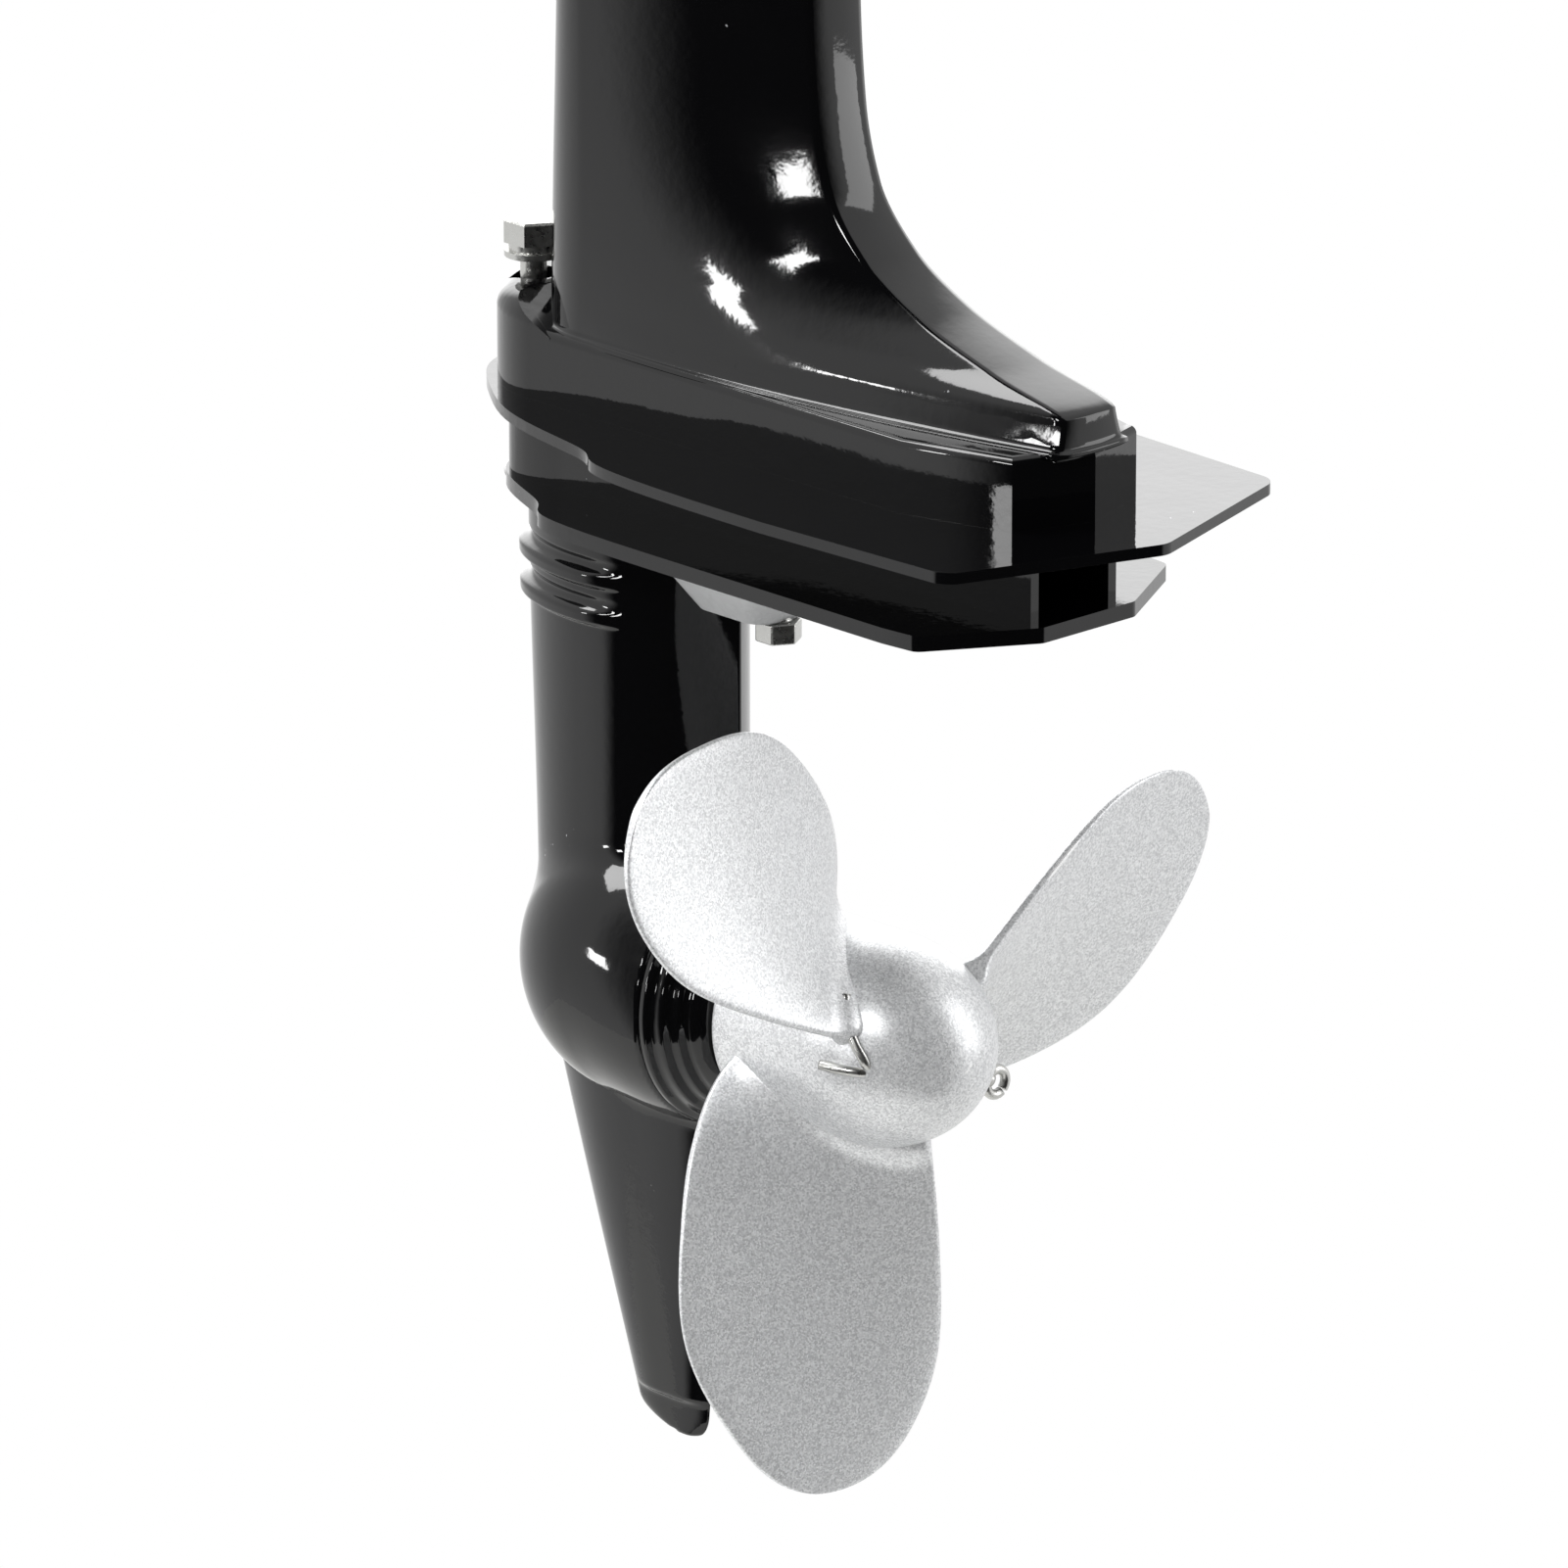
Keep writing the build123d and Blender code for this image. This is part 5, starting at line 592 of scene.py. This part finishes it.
def blade(index):
    """Helicoid: station = middle + pitch * angle / 360. Half-thickness falls with radius, is even
    across the chord, closes in a blunt round edge, and swells to a fillet at the hub."""
    span = BLADE_R - BLADE_ROOT
    tip = 1.0 - np.sin(0.5 * np.pi * np.linspace(0.0, 1.0, 90))
    radius = BLADE_R - span * tip
    root = np.sqrt(tip)
    lead, trail = (
        smooth_through(root, np.sqrt(1 - (side[::-1, 0] - BLADE_ROOT) / span), side[::-1, 1])
        for side in (BLADE_LEAD, BLADE_TRAIL)
    )
    fillet = 2.6 * np.clip((25.0 - radius) / 5.0, 0, 1) ** 2
    half = 0.85 + 1.0 * (1 - (radius - BLADE_ROOT) / span) + fillet
    around = np.linspace(0.0, 2 * np.pi, 96, endpoint=False)
    across = np.sign(np.cos(around)) * np.abs(np.cos(around)) ** 0.55
    thick = np.sign(np.sin(around)) * np.abs(np.sin(around)) ** 0.5
    width = radius * np.radians(trail - lead)
    edge = np.minimum(half, 0.5 * width)
    angle = 0.5 * (lead + trail)[:, None] + 0.5 * (trail - lead)[:, None] * across[None]
    slope = np.arctan2(BLADE_PITCH / (2 * np.pi), radius)[:, None]
    off = edge[:, None] * thick[None]
    station = BLADE_MID_U + BLADE_PITCH * angle / 360.0 + off * np.cos(slope)
    place = np.radians(angle + 360.0 * index / BLADE_COUNT + BLADE_FIRST)
    turned = place - off * np.sin(slope) / radius[:, None]
    return leg_place(station, radius[:, None] * np.cos(turned), radius[:, None] * np.sin(turned))


def hub_reach(station):
    """Hub radius: nearly a cylinder to its end, then a quarter ellipse of the tail's length."""
    tail = np.clip((station - HUB_END) / HUB_TAIL, 0.0, 1.0)
    taper = HUB_TAPER * np.clip((HUB_END - station) / 26.0, 0.0, 1.0)
    return (HUB_R - taper) * np.sqrt(1.0 - tail**2)


def hub():
    """Surface of revolution: the front face from the bore out, a quarter-round lip, and the reach."""
    turn = np.linspace(0.0, 0.5 * np.pi, 40)
    lip = HUB_FRONT + HUB_LIP - HUB_LIP * np.cos(turn[::5])
    length = np.linspace(HUB_FRONT + 2.0, HUB_END, 20)
    along = np.concatenate([[HUB_FRONT, HUB_FRONT], lip, length, HUB_END + HUB_TAIL * np.sin(turn[1:])])
    lip_r = HUB_FACE_R + HUB_LIP * np.sin(turn[::5])
    radius = np.concatenate([[HUB_BORE, HUB_FACE_R], lip_r, hub_reach(along[10:])])
    radius = np.maximum(radius, 0.02)[:, None]
    around = np.linspace(0.0, 2 * np.pi, 160, endpoint=False)[None]
    return leg_place(along[:, None], radius * np.sin(around), radius * np.cos(around))


for index in range(BLADE_COUNT):
    skin(f"propeller_blade_{index + 1}", blade(index), "propeller")
skin("propeller_hub", hub(), "propeller")


# Split pin
# Zinc-plated wire folded double and pushed through the hub to hold the propeller. Its eye stands
# proud to starboard, and to port its two legs are bent over, one forward and one up round the hub.
WIRE_R = 1.0
SHANK_R = 1.5
PIN_U = 79.0
EYE_R = 2.5
EYE_V = 17.8
EYE_H = -9.8
EYE_OPENING = 2.6
LEG_FORWARD = (
    (PIN_U, -10.0, 0.0),
    (79.2, -14.5, 0.2),
    (78.4, -17.2, 0.5),
    (75.4, -19.4, 0.8),
    (71.5, -21.0, 1.2),
)
LEG_UP = (
    (PIN_U, -10.0, 0.6),
    (79.4, -14.6, 1.0),
    (79.4, -16.8, 2.6),
    (77.2, -17.4, 6.0),
    (74.4, -17.2, 10.0),
    (72.6, -15.4, 14.0),
)
SHANK = ((PIN_U, 9.0, -5.0), (PIN_U, 13.0, -7.2), (PIN_U, 16.2, -9.0))
eye_turn = np.linspace(0.0, 2 * np.pi, 49) + EYE_OPENING
eye_sides = [np.full(49, PIN_U), EYE_V + EYE_R * np.sin(eye_turn), EYE_H + EYE_R * np.cos(eye_turn)]
EYE = np.stack(eye_sides, axis=1)


def wire(path, thick):
    """Round wire: rings of the given radius, square to a smooth line through the path's points."""
    path = np.asarray(path, float)
    knots = np.arange(len(path), dtype=float)
    grow = np.linspace(0, len(path) - 1, 8 * (len(path) - 1) + 1)
    line = np.stack([smooth_through(grow, knots, path[:, k]) for k in range(3)], axis=1)
    tangent = np.gradient(line, axis=0)
    tangent /= np.linalg.norm(tangent, axis=1)[:, None]
    side = np.cross(tangent, np.array([0.31, 0.21, 0.93]))
    side /= np.linalg.norm(side, axis=1)[:, None]
    up = np.cross(side, tangent)
    turn = np.linspace(0.0, 2 * np.pi, 20, endpoint=False)
    spoke = np.cos(turn)[None, :, None] * side[:, None] + np.sin(turn)[None, :, None] * up[:, None]
    ring = line[:, None] + thick * spoke
    return leg_place(ring[..., 0], ring[..., 1], ring[..., 2])


skin("split_pin_leg_forward", wire(LEG_FORWARD, WIRE_R), "cotter_pin")
skin("split_pin_leg_up", wire(LEG_UP, WIRE_R), "cotter_pin")
skin("split_pin_eye", wire(EYE[:-2], WIRE_R), "cotter_pin")
skin("split_pin_shank", wire(SHANK, SHANK_R), "cotter_pin")


# Shafts, gears, bearings, seals and water pump
# What turns inside the leg, and the pump that sends water up a copper tube. Shafts and gears are
# ground steel, the bushes bronze, the seals and impeller rubber, and the pump's housing moulded.
FINISH["steel"] = plain("ground_steel", "#b9bbbe", 0.25, 1.0, 1400.0)
FINISH["bronze"] = plain("bearing_bronze", "#b08a55", 0.35, 1.0, 900.0)
FINISH["rubber"] = plain("moulded_rubber", "#1b1b1c", 0.65, 0.0, 500.0, 0.0002)
FINISH["black_plastic"] = plain("moulded_black_plastic", "#1c1c1d", 0.45, 0.0, 800.0, 0.0001)
FINISH["copper"] = plain("drawn_copper", "#c98a63", 0.28, 1.0, 900.0)
DRIVE_NODES = (
    *("drive_shaft", "drive_shaft_bushes", "pinion_gear", "driven_gear", "propeller_shaft"),
    *("propeller_shaft_bearings", "oil_seals", "shear_pin"),
    *("water_pump_housing", "water_pump_impeller", "water_tube"),
)
for node in DRIVE_NODES:
    dress(node)


# Steering tube, tilt bracket and transom clamps
# They hang the motor on the boat. The steel tube turns in nylon bushes in the swivel bracket, an
# enamelled casting that tilts on a bolt between two clamps, each closed by a plated screw and pad.
FINISH["nylon"] = plain("natural_nylon", "#e6e3da", 0.5)
CLAMP_PIECES = ("bracket", "screw", "handle", "pad")
CLAMP_NODES = [f"clamp_{piece}_{side}" for piece in CLAMP_PIECES for side in ("port", "starboard")]
for node in (*CLAMP_NODES, "tilt_bolt", "trim_pin", "swivel_bracket", "swivel_bushes", "steering_tube"):
    dress(node)


# Engine
# A single cylinder lying aft, in bare cast aluminium, with a steel crank and rod. It stands on an
# enamelled pan at the top of the steering tube and carries the flywheel, carburettor and coil.
FINISH["bare_aluminium"] = plain("cast_aluminium", "#bfc1c4", 0.5, 1.0, 700.0)
ENGINE_NODES = (
    *("engine_pan", "flange_bolts", "cylinder_block", "cylinder_head", "crankcase_cover"),
    *("crankshaft", "crank_pin", "connecting_rod", "wrist_pin", "piston"),
    *("spark_plug", "flywheel", "ignition_coil", "carburettor", "intake_silencer"),
)
for node in ENGINE_NODES:
    dress(node)


# Starter, tank and cowl
# The pull starter sits on top of the flywheel and the polyethylene tank aft of it. A moulded gloss
# black cowl covers both but for the tank's cap, and the rubber carrying handle is aft on the pan.
FINISH["tank_plastic"] = plain("natural_polyethylene", "#e9e8e0", 0.45)
FINISH["cowl_plastic"] = plain("gloss_black_cowl", "#0e0e10", 0.14, 0.0, 120.0, 0.00002, 0.03)
STARTER_NODES = ("recoil_housing", "starter_pulley", "starter_cup", "starter_handle")
for node in (*STARTER_NODES, "fuel_tank", "fuel_cap", "top_cowl", "carry_handle"):
    dress(node)


# Tiller and controls
# An enamelled arm that folds up on its bolt, with a rubber twist grip, and on the pan's front the
# choke's black knob and the red button that stops the engine.
FINISH["red_plastic"] = plain("red_plastic", "#b51f1a", 0.3)
for node in ("tiller_arm", "tiller_bolt", "throttle_grip", "choke_knob", "stop_button"):
    dress(node)
